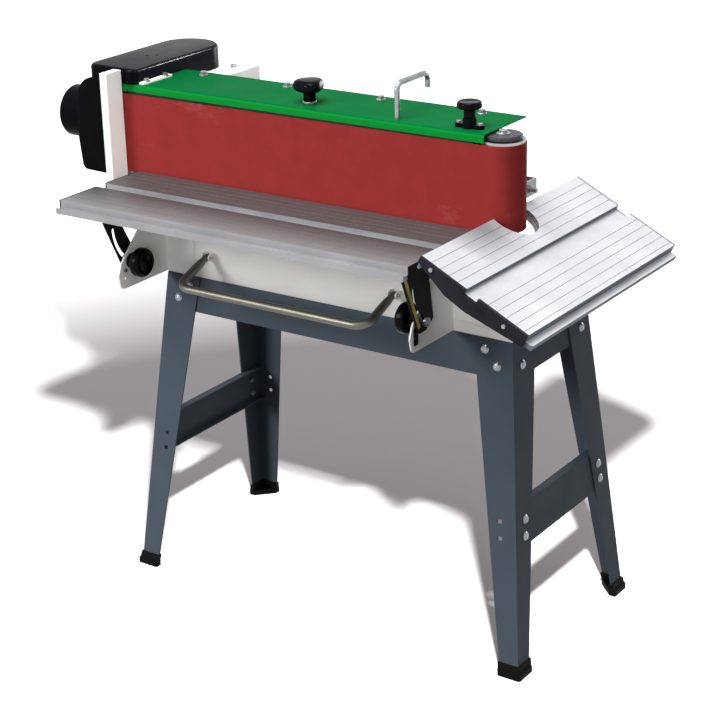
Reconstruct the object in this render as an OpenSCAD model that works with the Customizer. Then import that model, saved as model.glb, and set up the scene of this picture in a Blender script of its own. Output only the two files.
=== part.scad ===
// Floor-stand belt edge sander with a tilting main table and a tilting, notched end table.
// Units are millimetres, +X runs along the belt to the idler end, +Y to the back, +Z up.

/* [Stand] */
// Height of the stand from floor to top
stand_h = 592; // [500:1:700]
// Length of the stand at its top
stand_top_l = 738; // [700:1:800]
// Depth of the stand at its top
stand_top_d = 260; // [240:1:280]
// How far each leg spreads along the length by the floor
leg_spread_x = 54; // [20:1:90]
// How far each leg spreads along the depth by the floor
leg_spread_y = 67; // [20:1:90]
// Width of a leg's flanges at the top
leg_top_w = 76; // [66:1:90]
// Width of a leg's flanges at the floor
leg_foot_w = 37; // [30:1:60]
// Sheet thickness of legs, rails and braces
stand_sheet = 2.5; // [1.5:0.1:4]
// Height of the top rails
rail_h = 68; // [60:1:90]
// Width of the rails' inward top flange
rail_flange = 28; // [15:1:45]
// Height of the end braces
brace_h = 75; // [60:1:100]
// Height of the braces' lower edge above the floor
brace_z = 227; // [120:1:320]
// Height of the rubber feet
foot_h = 24; // [18:1:40]
// Length of the rubber feet along each flange of the leg
foot_w = 46; // [44:1:70]
// Diameter of the stand bolts
stand_bolt_d = 6; // [4:0.5:8]

/* [Base box] */
// Height of the base box
base_h = 98; // [90:1:110]
// Sheet thickness of the base box
base_sheet = 2; // [1:0.1:4]
// Thickness of the table brackets
bracket_t = 3; // [2:0.5:5]
// Width of the flange that joins a bracket to the base box
bracket_flange = 67; // [30:1:90]
// Distance between the inner faces of the table brackets
bracket_span = 620; // [560:1:640]

/* [Main table] */
// Length of the main table with its end caps
table_l = 750; // [720:1:780]
// Depth of the flat top of both tables
table_w = 217; // [212:1:224]
// Overall thickness of the table extrusion
table_t = 24; // [22:0.5:26]
// Thickness of the extrusion's top skin
table_skin = 7; // [5:0.5:10]
// Height of the table top above the base box
table_rise = 62; // [58:1:66]
// Gap between the main table and the belt
belt_gap = 6; // [3:0.5:12]
// Reach of the lower lip beyond the table's outer edge
lip_reach = 14; // [6:0.5:18]
// Width of the groove along the middle of the table
groove_w = 26; // [10:0.5:28]
// Spacing of the fine lines along the table top
line_pitch = 18; // [12:0.5:30]
// Thickness of the table end caps
cap_t = 3; // [2:0.5:6]
// Diameter of the table hinge pins
hinge_pin_d = 10; // [6:0.5:12]
// Thickness of the slotted table arms
arm_t = 4; // [2:0.5:5]
// Diameter of the clamp bolts
clamp_bolt_d = 8; // [6:0.5:10]
// Diameter of the clamp knobs
clamp_knob_d = 54; // [40:1:55]
// Largest tilt of both tables
tilt_max = 45; // [30:1:45]

/* [End table] */
// Length of the end table with its end caps
end_l = 528; // [480:1:560]
// Tilt of the end table, outer edge down
end_tilt = 26.6; // [0:0.1:40]
// Gap between the two tables when both are level
end_gap = 6; // [4:0.5:10]
// Gap between the notch and the belt when the table is level
notch_gap = 7; // [4:0.5:10]
// Diameter of the end table's hinge pin
end_pin_d = 12; // [8:0.5:14]

/* [Belt and drums] */
// Width of the sanding belt
belt_w = 150; // [145:1:155]
// Thickness of the sanding belt
belt_t = 1.5; // [0.8:0.1:3]
// Distance of the belt's front face from the stand's middle line
belt_front = 59; // [55:0.5:62]
// Diameter of the drums
drum_d = 76; // [70:0.5:80]
// Distance between the drum axes
drum_spacing = 833; // [820:1:845]
// Distance of the idler axis from the stand's middle
idler_x = 285; // [280:1:290]
// Diameter of the idler shaft
idler_shaft_d = 20; // [14:0.5:24]
// Diameter of the drive shaft
drive_shaft_d = 24; // [16:0.5:28]
// How much lower the belt runs at the drive drum than at the idler
belt_skew = 3; // [0:0.5:4]
// Travel of the idler when the tension is let off
tension_travel = 5; // [3:0.5:6]
// Number of turns of the tension spring
spring_turns = 8; // [5:1:12]
// Wire diameter of the tension spring
spring_wire = 2.6; // [1.5:0.1:3.5]

/* [Cover and hood] */
// Sheet thickness of the top cover
cover_sheet = 2; // [1:0.1:3]
// Height of the cover's front lip
cover_lip = 15; // [10:0.5:16]
// Depth of the top cover
cover_d = 144; // [140:1:150]
// Sheet thickness of the rear panel, motor tray and work stop
panel_sheet = 3; // [1.5:0.1:4]
// Outer diameter of the dust port
port_d = 100; // [80:1:120]
// Length of the dust port
port_l = 71.5; // [40:0.5:90]
// Wall of the dust hood and the pulley cover
hood_wall = 3; // [2:0.5:5]
// Diameter of the tension lever rod
lever_rod_d = 10; // [7:0.5:11]
// Height of the tension lever above the cover
lever_h = 62; // [50:1:90]
// Reach of the tension lever
lever_reach = 98; // [70:1:110]
// Diameter of the lobed cover knob
cover_knob_d = 58; // [40:1:64]
// Diameter of the tracking knob
tracking_knob_d = 43; // [30:1:50]

/* [Drive] */
// Pitch diameter of the drum pulley
drum_pulley_d = 64; // [56:1:66]
// Pitch diameter of the motor pulley
motor_pulley_d = 51.2; // [44:0.1:64]
// Distance between the pulley axes
pulley_spacing = 169; // [150:1:180]
// Diameter of the motor body
motor_d = 116; // [100:1:118]
// Length of the motor body
motor_l = 225; // [180:1:240]

/* [Bail and switch] */
// Diameter of the bail rod
bail_rod_d = 12; // [8:0.5:14]
// Width of the bail between its pivots
bail_w = 405; // [360:1:430]
// Reach of the bail from its pivots
bail_reach = 92; // [70:1:105]
// Angle of the bail below level
bail_drop = 20; // [10:1:30]
// Diameter of the switch buttons
button_d = 22; // [16:1:26]

/* [Hidden] */
$fn = 64;
eps = 0.01;
running = 0.05;
slip = 0.3;
cream = [0.86, 0.85, 0.82];
slate = [0.28, 0.32, 0.37];
alloy = [0.75, 0.76, 0.78];
steel = [0.70, 0.71, 0.72];
black = [0.06, 0.06, 0.07];
dark = [0.20, 0.21, 0.23];
green = [0.05, 0.52, 0.26];
abrasive = [0.58, 0.20, 0.19];
yellow = [0.85, 0.75, 0.10];

// Stand and base
lean_x = atan(leg_spread_x / stand_h);
lean_y = atan(leg_spread_y / stand_h);
leg_foot_z = 8;
foot_flare = 6;
bolt_head_d = stand_bolt_d + 10;
base_top = stand_h + base_h;
base_gap = 2;
plinth_h = 8;
plinth_in = 1.5;
plinth_w = 6;
base_front = -stand_top_d / 2;
base_left = -stand_top_l / 2;
bracket_x0 = base_left;
bracket_x1 = base_left + bracket_span;

// Belt, drums and cover
drum_r = drum_d / 2;
belt_in_r = drum_r + slip;
belt_out_r = belt_in_r + belt_t;
axis_y = -belt_front + belt_out_r;
drive_x = idler_x - drum_spacing;
table_h = base_top + table_rise;
belt_sink = 2;
belt_z = table_h - belt_sink;
belt_top = belt_z + belt_w;
drum_z = belt_z - 1.5;
drum_top = belt_top + 5;
cover_z = belt_top + 18;
cover_front = -belt_front - 1;
cover_back = cover_front + cover_d;
cover_right = idler_x - 14;
cover_left = drive_x + 37;

// Head frame inside the belt loop
frame_wall = 4;
platen_t = 6;
frame_front = -belt_front + belt_t + slip + platen_t + slip;
frame_back = axis_y + belt_in_r - 7;
frame_left = drive_x + drum_r + 5;
frame_right = idler_x - drum_r - 7;
frame_top_z = drum_top;
arm_lower_z = drum_z - 10.5;
arm_plate_t = 7;
frame_arm_end = drive_x - 26;
upper_arm_z = drum_top + 2;

// Main table
main_right = bracket_x1 + 14;
main_left = main_right - table_l;
main_rear = -belt_front - belt_gap;
mid_w = table_w / 2;
lip_drop = 14;
lip_rim = 2;
lip_edge = 3;
lip_bottom = 22;
rear_rib = 5;
groove_mid = mid_w - 3.5;
groove_depth = 9;
rib_half = 20;
hinge_in = groove_mid + 2;
hinge_drop = table_t + 14;
hinge_y = main_rear - hinge_in;
hinge_z = table_h - hinge_drop;
clamp_out = 59;
clamp_down = 72;
clamp_y = hinge_y - clamp_out;
clamp_z = hinge_z - clamp_down;
clamp_r = norm([clamp_out, clamp_down]);
clamp_angle = 180 + atan(clamp_down / clamp_out);
boss_r = 13;
arm_gap = 3.5;
scale_t = 0.6;
arm_x1 = bracket_x1 + bracket_t + arm_gap;
arm_x0 = bracket_x0 - bracket_t - arm_gap - arm_t;

// End table
end_x = main_right + end_gap;
ear_half = 18;
end_hinge_in = groove_mid - rib_half - ear_half - 2;
end_hinge_drop = table_t + 10;
end_pivot = [end_x + end_hinge_in, 0, table_h - end_hinge_drop];
end_front = main_rear - table_w - 11;
end_back = end_front + end_l;
end_cap_t = 6;
notch_r = belt_out_r + notch_gap;
end_lock_r = 70;
bracket_rear_y = stand_top_d / 2;
quad_t = 4;
ear_t = 8;
ear_front_y = -112;

// Hood, pulley cover and motor
hood_left = drive_x - 67.5;
hood_right = drive_x + 18;
hood_front = cover_front - 18;
panel_y = cover_back - cover_sheet - panel_sheet - slip;
hood_back = panel_y;
hood_top = drum_top - 5;
hood_bottom = drum_z - 7.5;
hood_rise = 2;
port_y = 0;
port_z = hood_top - 68;
hood_peak = cover_z + 7;
stop_w = 17;
stop_d = 41;
stop_x = hood_right + 1;
stop_top = cover_z + 24;
pulley_half = 62;
pulley_x = drive_x + 10;
pulley_near = cover_front - 1.5;
pulley_cover_top = hood_top + 45;
motor_y = axis_y + pulley_spacing;
pulley_far = motor_y + 14;
pulley_z = cover_z + 5;
pulley_h = 18;
tray_left = drive_x - 64;
tray_right = drive_x + 128;
tray_back = motor_y + 93;
tray_h = 38;

// Controls
lever_x = 88.5;
lever_y = frame_front + frame_wall + lever_rod_d / 2 + 1.5;
crank_r = tension_travel / sqrt(2);
pin_r = 3;
panel_right = cover_right - 46;
cover_knob_x = -110;
cover_knob_y = -20;
cover_stud_r = 4;
track_x = 226;
track_y = -30;
bail_x = -264;
bail_y = base_front - 13;
bail_z = stand_h + 48;
bail_pin_r = 2.5;
lug_t = 2.5;
switch_y = -8;
switch_z = stand_h + 55;
switch_d = 36;
button_travel = 4;

// The origin is the middle of the object's outline on the floor
end_far = (table_w + lip_reach - end_hinge_in) * cos(end_tilt)
  + (end_hinge_drop - lip_drop + lip_rim) * sin(end_tilt);
reach_left = hood_left - port_l;
reach_right = end_pivot[0] + end_far;
reach_front = main_rear - table_w - lip_reach;
reach_back = tray_back;
shift = [-(reach_left + reach_right) / 2, -(reach_front + reach_back) / 2, 0];

// Helpers
module place() { translate(shift) children(); }

// A block between two level rectangles, each given as [x0, x1, y0, y1]
module slab(z0, a, z1, b) {
  polyhedron(
    [
      [a[0], a[2], z0], [a[1], a[2], z0], [a[1], a[3], z0], [a[0], a[3], z0],
      [b[0], b[2], z1], [b[1], b[2], z1], [b[1], b[3], z1], [b[0], b[3], z1]
    ],
    [[0, 1, 2, 3], [4, 7, 6, 5], [0, 4, 5, 1], [1, 5, 6, 2], [2, 6, 7, 3], [3, 7, 4, 0]]
  );
}

module box(x0, x1, y0, y1, z0, z1) {
  translate([x0, y0, z0])
    cube([x1 - x0, y1 - y0, z1 - z0]);
}

module rod_x(r, x0, x1, y, z) {
  translate([x0, y, z])
    rotate([0, 90, 0])
      cylinder(r = r, h = x1 - x0);
}

module rod_y(r, y0, y1, x, z) {
  translate([x, y0, z])
    rotate([-90, 0, 0])
      cylinder(r = r, h = y1 - y0);
}

module rod_z(r, z0, z1, x, y) {
  translate([x, y, z0])
    cylinder(r = r, h = z1 - z0);
}

// A plate across X whose outline is given in Y and Z
module plate_x(x0, x1) {
  translate([x0, 0, 0])
    rotate([90, 0, 90])
      linear_extrude(height = x1 - x0)
        children();
}

// A plate across Y whose outline is given in X and Z
module plate_y(y0, y1) {
  translate([0, y1, 0])
    rotate([90, 0, 0])
      linear_extrude(height = y1 - y0)
        children();
}

// Points of a closed outline whose corners, given as [x, y, radius], are rounded
function corner_points(a, b, c) =
  let (
    u = ([a[0], a[1]] - [b[0], b[1]]) / norm([a[0] - b[0], a[1] - b[1]]),
    v = ([c[0], c[1]] - [b[0], b[1]]) / norm([c[0] - b[0], c[1] - b[1]]),
    half = acos(max(-1, min(1, u * v))) / 2,
    m = (u + v) / norm(u + v),
    centre = [b[0], b[1]] + m * b[2] / sin(half),
    t0 = [b[0], b[1]] + u * b[2] / tan(half) - centre,
    t1 = [b[0], b[1]] + v * b[2] / tan(half) - centre,
    a0 = atan2(t0[1], t0[0]),
    sweep = ((atan2(t1[1], t1[0]) - a0 + 540) % 360) - 180,
    steps = max(5, ceil(b[2] / 2))
  )
  [for (i = [0:steps]) centre + b[2] * [cos(a0 + sweep * i / steps), sin(a0 + sweep * i / steps)]];

function rounded(p) = [
  for (i = [0:len(p) - 1])
    let (n = len(p), a = p[(i + n - 1) % n], b = p[i], c = p[(i + 1) % n])
    each (b[2] == 0 ? [[b[0], b[1]]] : corner_points(a, b, c))
];

// Slot along an arc about the origin, from one angle to another
module arc_slot(r, half, from, to) {
  reach = 2 * r;
  mid = (from + to) / 2;
  intersection() {
    difference() {
      circle(r + half);
      circle(r - half);
    }
    polygon([
      [0, 0], reach * [cos(from), sin(from)],
      reach * [cos(mid), sin(mid)], reach * [cos(to), sin(to)]
    ]);
  }
  for (a = [from, to])
    translate(r * [cos(a), sin(a)])
      circle(half);
}

// Outline of a belt around two circles on the Y axis
module loop_2d(r1, y1, r2, y2) {
  b = asin((r1 - r2) / (y2 - y1));
  steps = 24;
  function arc(r, y, from, sweep) = [
    for (i = [0:steps])
      let (a = from + sweep * i / steps)
      [r * cos(a), y + r * sin(a)]
  ];
  polygon(concat(arc(r2, y2, b, 180 - 2 * b), arc(r1, y1, 180 - b, 180 + 2 * b)));
}

// Stand: the corner of a leg at a height, and the width of its flanges there
function corner_x(z) = stand_top_l / 2 + leg_spread_x * (stand_h - z) / stand_h;
function corner_y(z) = stand_top_d / 2 + leg_spread_y * (stand_h - z) / stand_h;
function flange_w(z) = leg_top_w + (leg_foot_w - leg_top_w) * (stand_h - z) / stand_h;

module at_corner(sx, sy) {
  mirror([sx < 0 ? 1 : 0, 0, 0])
    mirror([0, sy < 0 ? 1 : 0, 0])
      children();
}

module angle_iron(z0, z1, grow) {
  function arm(z, along, across) = [
    corner_x(z) - along - grow, corner_x(z) + grow, corner_y(z) - across - grow, corner_y(z) + grow
  ];
  function front(z) = arm(z, flange_w(z), stand_sheet);
  function side(z) = arm(z, stand_sheet, flange_w(z));
  slab(z0, front(z0), z1, front(z1));
  slab(z0, side(z0), z1, side(z1));
}

// Bolt places on a leg: distance in from the crease, and height
rail_bolts = [[54, stand_h - 20], [31, stand_h - 46]];
brace_bolts = [[32, brace_z + 50], [32, brace_z + 20]];

module on_front_flange(p) {
  translate([corner_x(p[1]) - p[0], corner_y(p[1]), p[1]])
    rotate([lean_y - 90, 0, 0])
      children();
}

module on_side_flange(p) {
  translate([corner_x(p[1]), corner_y(p[1]) - p[0], p[1]])
    rotate([0, 90 - lean_x, 0])
      children();
}

module bolt_hole() {
  translate([0, 0, -15])
    cylinder(d = stand_bolt_d + 0.6, h = 30);
}

module leg_holes() {
  for (p = rail_bolts) {
    on_front_flange(p)
      bolt_hole();
    on_side_flange(p)
      bolt_hole();
  }
  for (p = brace_bolts) {
    on_side_flange(p)
      bolt_hole();
    on_front_flange(p)
      translate([-4, -4, -6])
        cube([8, 8, 12]);
  }
}

module leg(sx, sy) {
  color(slate)
    place()
      at_corner(sx, sy)
        difference() {
          angle_iron(leg_foot_z, stand_h, 0);
          leg_holes();
        }
}

module leg_front_left() { leg(-1, -1); }
module leg_front_right() { leg(1, -1); }
module leg_rear_left() { leg(-1, 1); }
module leg_rear_right() { leg(1, 1); }

module long_rails() {
  z0 = stand_h - rail_h;
  function band(z) = [
    -corner_x(z) + stand_sheet, corner_x(z) - stand_sheet,
    corner_y(z) - 2 * stand_sheet, corner_y(z) - stand_sheet
  ];
  inner = corner_y(stand_h) - stand_sheet - rail_flange;
  flange_x = corner_x(stand_h) - 2 * stand_sheet;
  color(slate)
    place()
      for (sy = [-1, 1])
        at_corner(1, sy)
          difference() {
            union() {
              slab(z0, band(z0), stand_h, band(stand_h));
              box(-flange_x, flange_x, inner, corner_y(stand_h) - stand_sheet - eps,
                stand_h - stand_sheet, stand_h);
            }
            for (sx = [-1, 1], p = rail_bolts)
              at_corner(sx, 1)
                on_front_flange(p)
                  bolt_hole();
          }
}

module end_rails() {
  z0 = stand_h - rail_h;
  function band(z) = [
    corner_x(z) - 2 * stand_sheet, corner_x(z) - stand_sheet,
    -corner_y(z) + 2 * stand_sheet, corner_y(z) - 2 * stand_sheet
  ];
  half = corner_y(stand_h) - stand_sheet - rail_flange;
  color(slate)
    place()
      for (sx = [-1, 1])
        at_corner(sx, 1)
          difference() {
            union() {
              slab(z0, band(z0), stand_h, band(stand_h));
              box(corner_x(stand_h) - stand_sheet - rail_flange, corner_x(stand_h) - stand_sheet - eps,
                -half, half, stand_h - stand_sheet, stand_h);
            }
            for (sy = [-1, 1], p = rail_bolts)
              at_corner(1, sy)
                on_side_flange(p)
                  bolt_hole();
          }
}

module end_braces() {
  z1 = brace_z + brace_h;
  fold = 16;
  function band(z, depth) = [
    corner_x(z) - stand_sheet - depth, corner_x(z) - stand_sheet,
    -corner_y(z) + stand_sheet, corner_y(z) - stand_sheet
  ];
  color(slate)
    place()
      for (sx = [-1, 1])
        at_corner(sx, 1)
          difference() {
            union() {
              slab(brace_z, band(brace_z, stand_sheet), z1, band(z1, stand_sheet));
              slab(brace_z, band(brace_z, fold),
                brace_z + stand_sheet, band(brace_z + stand_sheet, fold));
              slab(z1 - stand_sheet, band(z1 - stand_sheet, fold), z1, band(z1, fold));
            }
            for (sy = [-1, 1], p = brace_bolts)
              at_corner(1, sy)
                on_side_flange(p)
                  bolt_hole();
          }
}

// Rubber foot: a three-cornered sole and a sleeve around the leg's two flanges
module rubber_feet() {
  sole = 11;
  sole_end = 13;
  sleeve = 9;
  sleeve_l = leg_foot_w + 6;
  function pad(z, x, y, out) = [
    corner_x(z) + out - x, corner_x(z) + out, corner_y(z) + out - y, corner_y(z) + out
  ];
  color(black)
    place()
      for (sx = [-1, 1], sy = [-1, 1])
        at_corner(sx, sy)
          difference() {
            union() {
              translate([corner_x(0) + foot_flare, corner_y(0) + foot_flare])
                linear_extrude(height = sole)
                  polygon(rounded([
                    [0, 0, 5], [-foot_w, 0, 3], [-foot_w, -sole_end, 3],
                    [-sole_end, -foot_w, 3], [0, -foot_w, 3]
                  ]));
              slab(sole, pad(sole, sleeve_l, sleeve, 4), foot_h, pad(foot_h, sleeve_l, sleeve, 3));
              slab(sole, pad(sole, sleeve, sleeve_l, 4), foot_h, pad(foot_h, sleeve, sleeve_l, 3));
            }
            angle_iron(leg_foot_z, foot_h + 5, slip);
          }
}

module carriage_bolt(grip) {
  dome_h = 4.5;
  nut_h = 5;
  rotate_extrude()
    polygon([
      [0, 0], [bolt_head_d / 2, 0], [bolt_head_d / 2, 1], [bolt_head_d * 0.36, 3.4], [0, dome_h]
    ]);
  translate([0, 0, -grip - nut_h - 3])
    cylinder(d = stand_bolt_d, h = grip + nut_h + 3 + eps);
  translate([0, 0, -grip - nut_h])
    cylinder(d = stand_bolt_d + 5, h = nut_h, $fn = 6);
}

module stand_bolts() {
  grip_y = 2 * stand_sheet * cos(lean_y);
  grip_x = 2 * stand_sheet * cos(lean_x);
  color(steel)
    place()
      for (sx = [-1, 1], sy = [-1, 1])
        at_corner(sx, sy) {
          for (p = rail_bolts) {
            on_front_flange(p)
              carriage_bolt(grip_y);
            on_side_flange(p)
              carriage_bolt(grip_x);
          }
          for (p = brace_bolts)
            on_side_flange(p)
              carriage_bolt(grip_x);
        }
}

// Base box with the two pairs of bail lugs on its front
bail_ends = [bail_x, bail_x + bail_w];
gland_x = base_left + 45;
gland_z = stand_h + 40;
gland_r = 7;
eye_half = bail_rod_d / 2 + 0.6;
lug_gap = 2 * eye_half + 2 * slip;

module base_ring(inset, wall, z0, z1) {
  x = -base_left - inset;
  y = -base_front - inset;
  difference() {
    box(-x, x, -y, y, z0, z1);
    box(-x + wall, x - wall, -y + wall, y - wall, z0 - 1, z1 + 1);
  }
}

module bail_lug(x0) {
  lug_r = 6;
  difference() {
    plate_x(x0, x0 + lug_t) {
      translate([bail_y, bail_z])
        circle(lug_r);
      translate([bail_y, bail_z - lug_r])
        square([base_front - bail_y + eps, 2 * lug_r]);
    }
    rod_x(bail_pin_r, x0 - 1, x0 + lug_t + 1, bail_y, bail_z);
  }
}

module base_box() {
  color(cream)
    place() {
      difference() {
        union() {
          base_ring(0, base_sheet, stand_h + base_gap, base_top - eps);
          base_ring(plinth_in, plinth_w, stand_h, stand_h + plinth_h);
          box(base_left, -base_left, base_front, -base_front, base_top - base_sheet, base_top);
        }
        rod_y(clamp_bolt_d / 2 + slip, 0, stand_top_d, end_pivot[0], end_pivot[2] - end_lock_r);
        rod_y(gland_r + slip, 0, stand_top_d, gland_x, gland_z);
      }
      for (x = bail_ends) {
        bail_lug(x - lug_gap / 2 - lug_t);
        bail_lug(x + lug_gap / 2);
      }
    }
}

// Table brackets: a gusset in front of the base box with the hinge boss and the clamp hole
bracket_low = stand_h + 1.5;
bracket_edge = 17;
small_hole_out = 18;
small_hole_down = [29.5, 14];
small_hole_y = clamp_y - small_hole_out;
small_hole_z = [for (d = small_hole_down) clamp_z - d];
small_hole_r = 2.4;

module bracket_outline() {
  tip = small_hole_y - bracket_edge;
  difference() {
    union() {
      polygon(rounded([
        [base_front, bracket_low, 0], [tip + 6, bracket_low, 10], [tip, bracket_low + 26, 8],
        [clamp_y - 26, clamp_z, 8], [hinge_y - boss_r - 2, hinge_z - 2, 0],
        [hinge_y + boss_r, hinge_z, 0], [base_front, base_top + 6, 0]
      ]));
      translate([hinge_y, hinge_z])
        circle(boss_r);
    }
    translate([hinge_y, hinge_z])
      circle(d = hinge_pin_d);
    translate([clamp_y, clamp_z])
      circle(d = clamp_bolt_d + 2 * slip);
    for (z = small_hole_z)
      translate([small_hole_y, z])
        circle(small_hole_r);
  }
}

module bracket(x0, x1) {
  flange_t = 2;
  flange_low = 22;
  color(cream)
    place() {
      plate_x(x0, x1)
        bracket_outline();
      box(x1 - eps, x1 + bracket_flange, base_front - flange_t, base_front,
        stand_h + flange_low, base_top - 2);
    }
}

module bracket_left() { bracket(bracket_x0 - bracket_t, bracket_x0); }
module bracket_right() { bracket(bracket_x1, bracket_x1 + bracket_t); }

// Pins of the main table's hinge, the end table's hinge and the bail; the clamp bolts, which run
// through the arm's slot, a spacer and the bracket into the knob; and a screw on the left bracket
knob_h = 36;
hinge_head = 3;
bolt_grip = knob_h - 5;

// Hinge pin and clamp bolt of one bracket, about the bracket's outer face at x = 0
module bracket_pins() {
  pin = hinge_pin_d / 2;
  bolt = clamp_bolt_d / 2;
  out = arm_gap + arm_t + scale_t + slip;
  head_h = 5;
  spacer_r = 9;
  rod_x(pin, -bracket_t - hinge_head, out, hinge_y, hinge_z);
  rod_x(pin + 3, out, out + hinge_head, hinge_y, hinge_z);
  rod_x(bolt, -bracket_t - bolt_grip, out, clamp_y, clamp_z);
  rod_x(bolt + 4, out, out + head_h, clamp_y, clamp_z);
  rod_x(spacer_r, 0, arm_gap - slip, clamp_y, clamp_z);
}

module hinge_pins() {
  screw_h = 2.6;
  color(steel)
    place() {
      translate([bracket_x1 + bracket_t, 0, 0])
        bracket_pins();
      translate([bracket_x0 - bracket_t, 0, 0])
        mirror([1, 0, 0])
          bracket_pins();
      rod_x(small_hole_r, bracket_x0 - bracket_t, bracket_x0 + eps, small_hole_y, small_hole_z[1]);
      rod_x(small_hole_r + 1.4, bracket_x0, bracket_x0 + screw_h, small_hole_y, small_hole_z[1]);
      rod_y(end_pin_d / 2, ear_front_y - ear_t - 6, quad_y + quad_t + 3, end_pivot[0], end_pivot[2]);
      for (x = bail_ends)
        rod_x(bail_pin_r, x - lug_gap / 2 - lug_t - 3, x + lug_gap / 2 + lug_t + 3, bail_y, bail_z);
    }
}

// Pointer of the angle scale, held on the right bracket by two screws
module scale_pointer() {
  x0 = bracket_x1 + bracket_t;
  pointer_t = 1.6;
  half = 6;
  low = small_hole_z[0] - 7;
  high = small_hole_z[1] + 6;
  color(black)
    place() {
      plate_x(x0, x0 + pointer_t)
        polygon([
          [small_hole_y - half, low], [small_hole_y + half, low], [small_hole_y + half, high],
          [small_hole_y, high + 6], [small_hole_y - half, high]
        ]);
      for (z = small_hole_z) {
        rod_x(small_hole_r, bracket_x1, x0 + pointer_t, small_hole_y, z);
        rod_x(small_hole_r + 1.2, x0 + pointer_t - eps, x0 + arm_gap - slip, small_hole_y, z);
      }
    }
}

// Mushroom knob about +Z, standing on its hub, with a bore for its bolt
module mushroom_knob(d, h, hub_r, bore_r) {
  cap = h * 0.55;
  rotate_extrude()
    polygon([
      [bore_r, 0], [hub_r + 3, 0], [hub_r, 4], [hub_r, h - cap - 2], [d / 2 - 5, h - cap],
      [d / 2 - 1, h - cap + 2],
      [d / 2, h - cap + 5], [d / 2 - 1.5, h - 4], [d / 2 - 6, h - 1], [d / 2 - 12, h], [0, h],
      [0, h - 3], [bore_r, h - 3]
    ]);
}

module clamp_knob_left() {
  color(black)
    place()
      translate([bracket_x0 + slip, clamp_y, clamp_z])
        rotate([0, 90, 0])
          mushroom_knob(clamp_knob_d, knob_h, 11, clamp_bolt_d / 2 + running);
}

module clamp_knob_right() {
  color(black)
    place()
      translate([bracket_x1 - slip, clamp_y, clamp_z])
        rotate([0, -90, 0])
          mushroom_knob(clamp_knob_d, knob_h, 11, clamp_bolt_d / 2 + running);
}

// Table extrusion: across is the distance from the inner edge, down the depth below the top
line_w = 1.6;
line_depth = 0.7;
groove_in = groove_mid - groove_w / 2;
groove_out = groove_mid + groove_w / 2;
lines_in = floor((groove_in - 6) / line_pitch);
lines_out = floor((table_w - groove_out - 6) / line_pitch);

function line_at(w) = [
  [w - line_w / 2, 0], [w - line_w / 2, line_depth], [w + line_w / 2, line_depth], [w + line_w / 2, 0]
];

function table_top() = concat(
  [[0, 0]],
  [for (i = [lines_in:-1:1]) each line_at(groove_in - i * line_pitch)],
  [[groove_in, 0], [groove_in, groove_depth], [groove_out, groove_depth], [groove_out, 0]],
  [for (i = [1:lines_out]) each line_at(groove_out + i * line_pitch)],
  [[table_w, 0]]
);

function table_section() = let (edge = table_w + lip_reach, inner = table_w - 2) concat(
  table_top(),
  [
    [table_w, lip_drop], [edge - lip_edge, lip_drop], [edge - lip_edge, lip_drop - lip_rim],
    [edge, lip_drop - lip_rim], [edge, lip_bottom], [inner, lip_bottom],
    [inner, table_skin], [groove_mid + rib_half, table_skin], [groove_mid + rib_half, table_t],
    [groove_mid - rib_half, table_t], [groove_mid - rib_half, table_skin], [rear_rib, table_skin],
    [rear_rib, table_t], [0, table_t]
  ]
);

recess = [groove_mid + rib_half + 1.5, table_w - 3.5];
arm_screw_w = [recess[0] + 16, recess[1] - 16];
arm_pad = 28;

module arm_screw_holes(r) {
  for (x = [arm_x0 + arm_pad - 9, arm_x1 + arm_t - arm_pad + 9], w = arm_screw_w)
    rod_z(r, table_h - table_skin - 10, table_h - 3, x, main_rear - w);
}

module main_table() {
  color(alloy)
    place()
      difference() {
        plate_x(main_left + cap_t, main_right - cap_t)
          polygon([for (p = table_section()) [main_rear - p[0], table_h - p[1]]]);
        arm_screw_holes(2.6);
      }
}

module main_end_caps() {
  color(black)
    place()
      for (x = [main_left, main_right - cap_t])
        plate_x(x, x + cap_t)
          difference() {
            polygon([
              [main_rear, table_h], [main_rear - table_w, table_h],
              [main_rear - table_w, table_h - lip_bottom], [main_rear, table_h - table_t]
            ]);
            translate([main_rear - groove_out, table_h - groove_depth])
              square([groove_w, groove_depth + 1]);
          }
}

// Slotted arms hang from the table and swing about the hinge. An arm's front edge is given by two
// points, its rear edge by two more, all from the hinge
left_edges = [[-117, 12], [-74, -80], [-40, -58], [-70, -2]];
right_edges = [[-123, 14], [-79, -88], [-33, -73], [-45, -2]];
arm_bar = 16;

module arm_outline(edges) {
  recess_rear = main_rear - recess[0];
  recess_front = main_rear - recess[1];
  under = table_h - table_t;
  skin = table_h - table_skin;
  hinge = [hinge_y, hinge_z];
  function corner(i, r) = [hinge[0] + edges[i][0], hinge[1] + edges[i][1], r];
  difference() {
    union() {
      polygon(rounded([
        [recess_front, skin, 0], [recess_front, under, 0], corner(0, 0), corner(1, 8),
        [clamp_y + 3, clamp_z - 15, 8], corner(2, 8), corner(3, 0),
        [hinge_y, under - arm_bar, 0], [hinge_y + boss_r, under - slip, 0],
        [recess_rear, under - slip, 0], [recess_rear, skin, 0]
      ]));
      translate(hinge)
        circle(boss_r);
    }
    translate(hinge) {
      circle(d = hinge_pin_d + 2 * running);
      arc_slot(clamp_r, clamp_bolt_d / 2 + slip, clamp_angle - tilt_max - 1, clamp_angle + 1);
    }
  }
}

module table_arm(x0, pad_x0, edges) {
  top = table_h - table_skin;
  color(black)
    place()
      difference() {
        union() {
          plate_x(x0, x0 + arm_t)
            arm_outline(edges);
          box(pad_x0, pad_x0 + arm_pad, main_rear - recess[1], main_rear - recess[0], top - arm_t, top);
        }
        arm_screw_holes(2.6);
      }
}

module table_arm_left() { table_arm(arm_x0, arm_x0, left_edges); }
module table_arm_right() { table_arm(arm_x1, arm_x1 + arm_t - arm_pad, right_edges); }

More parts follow.
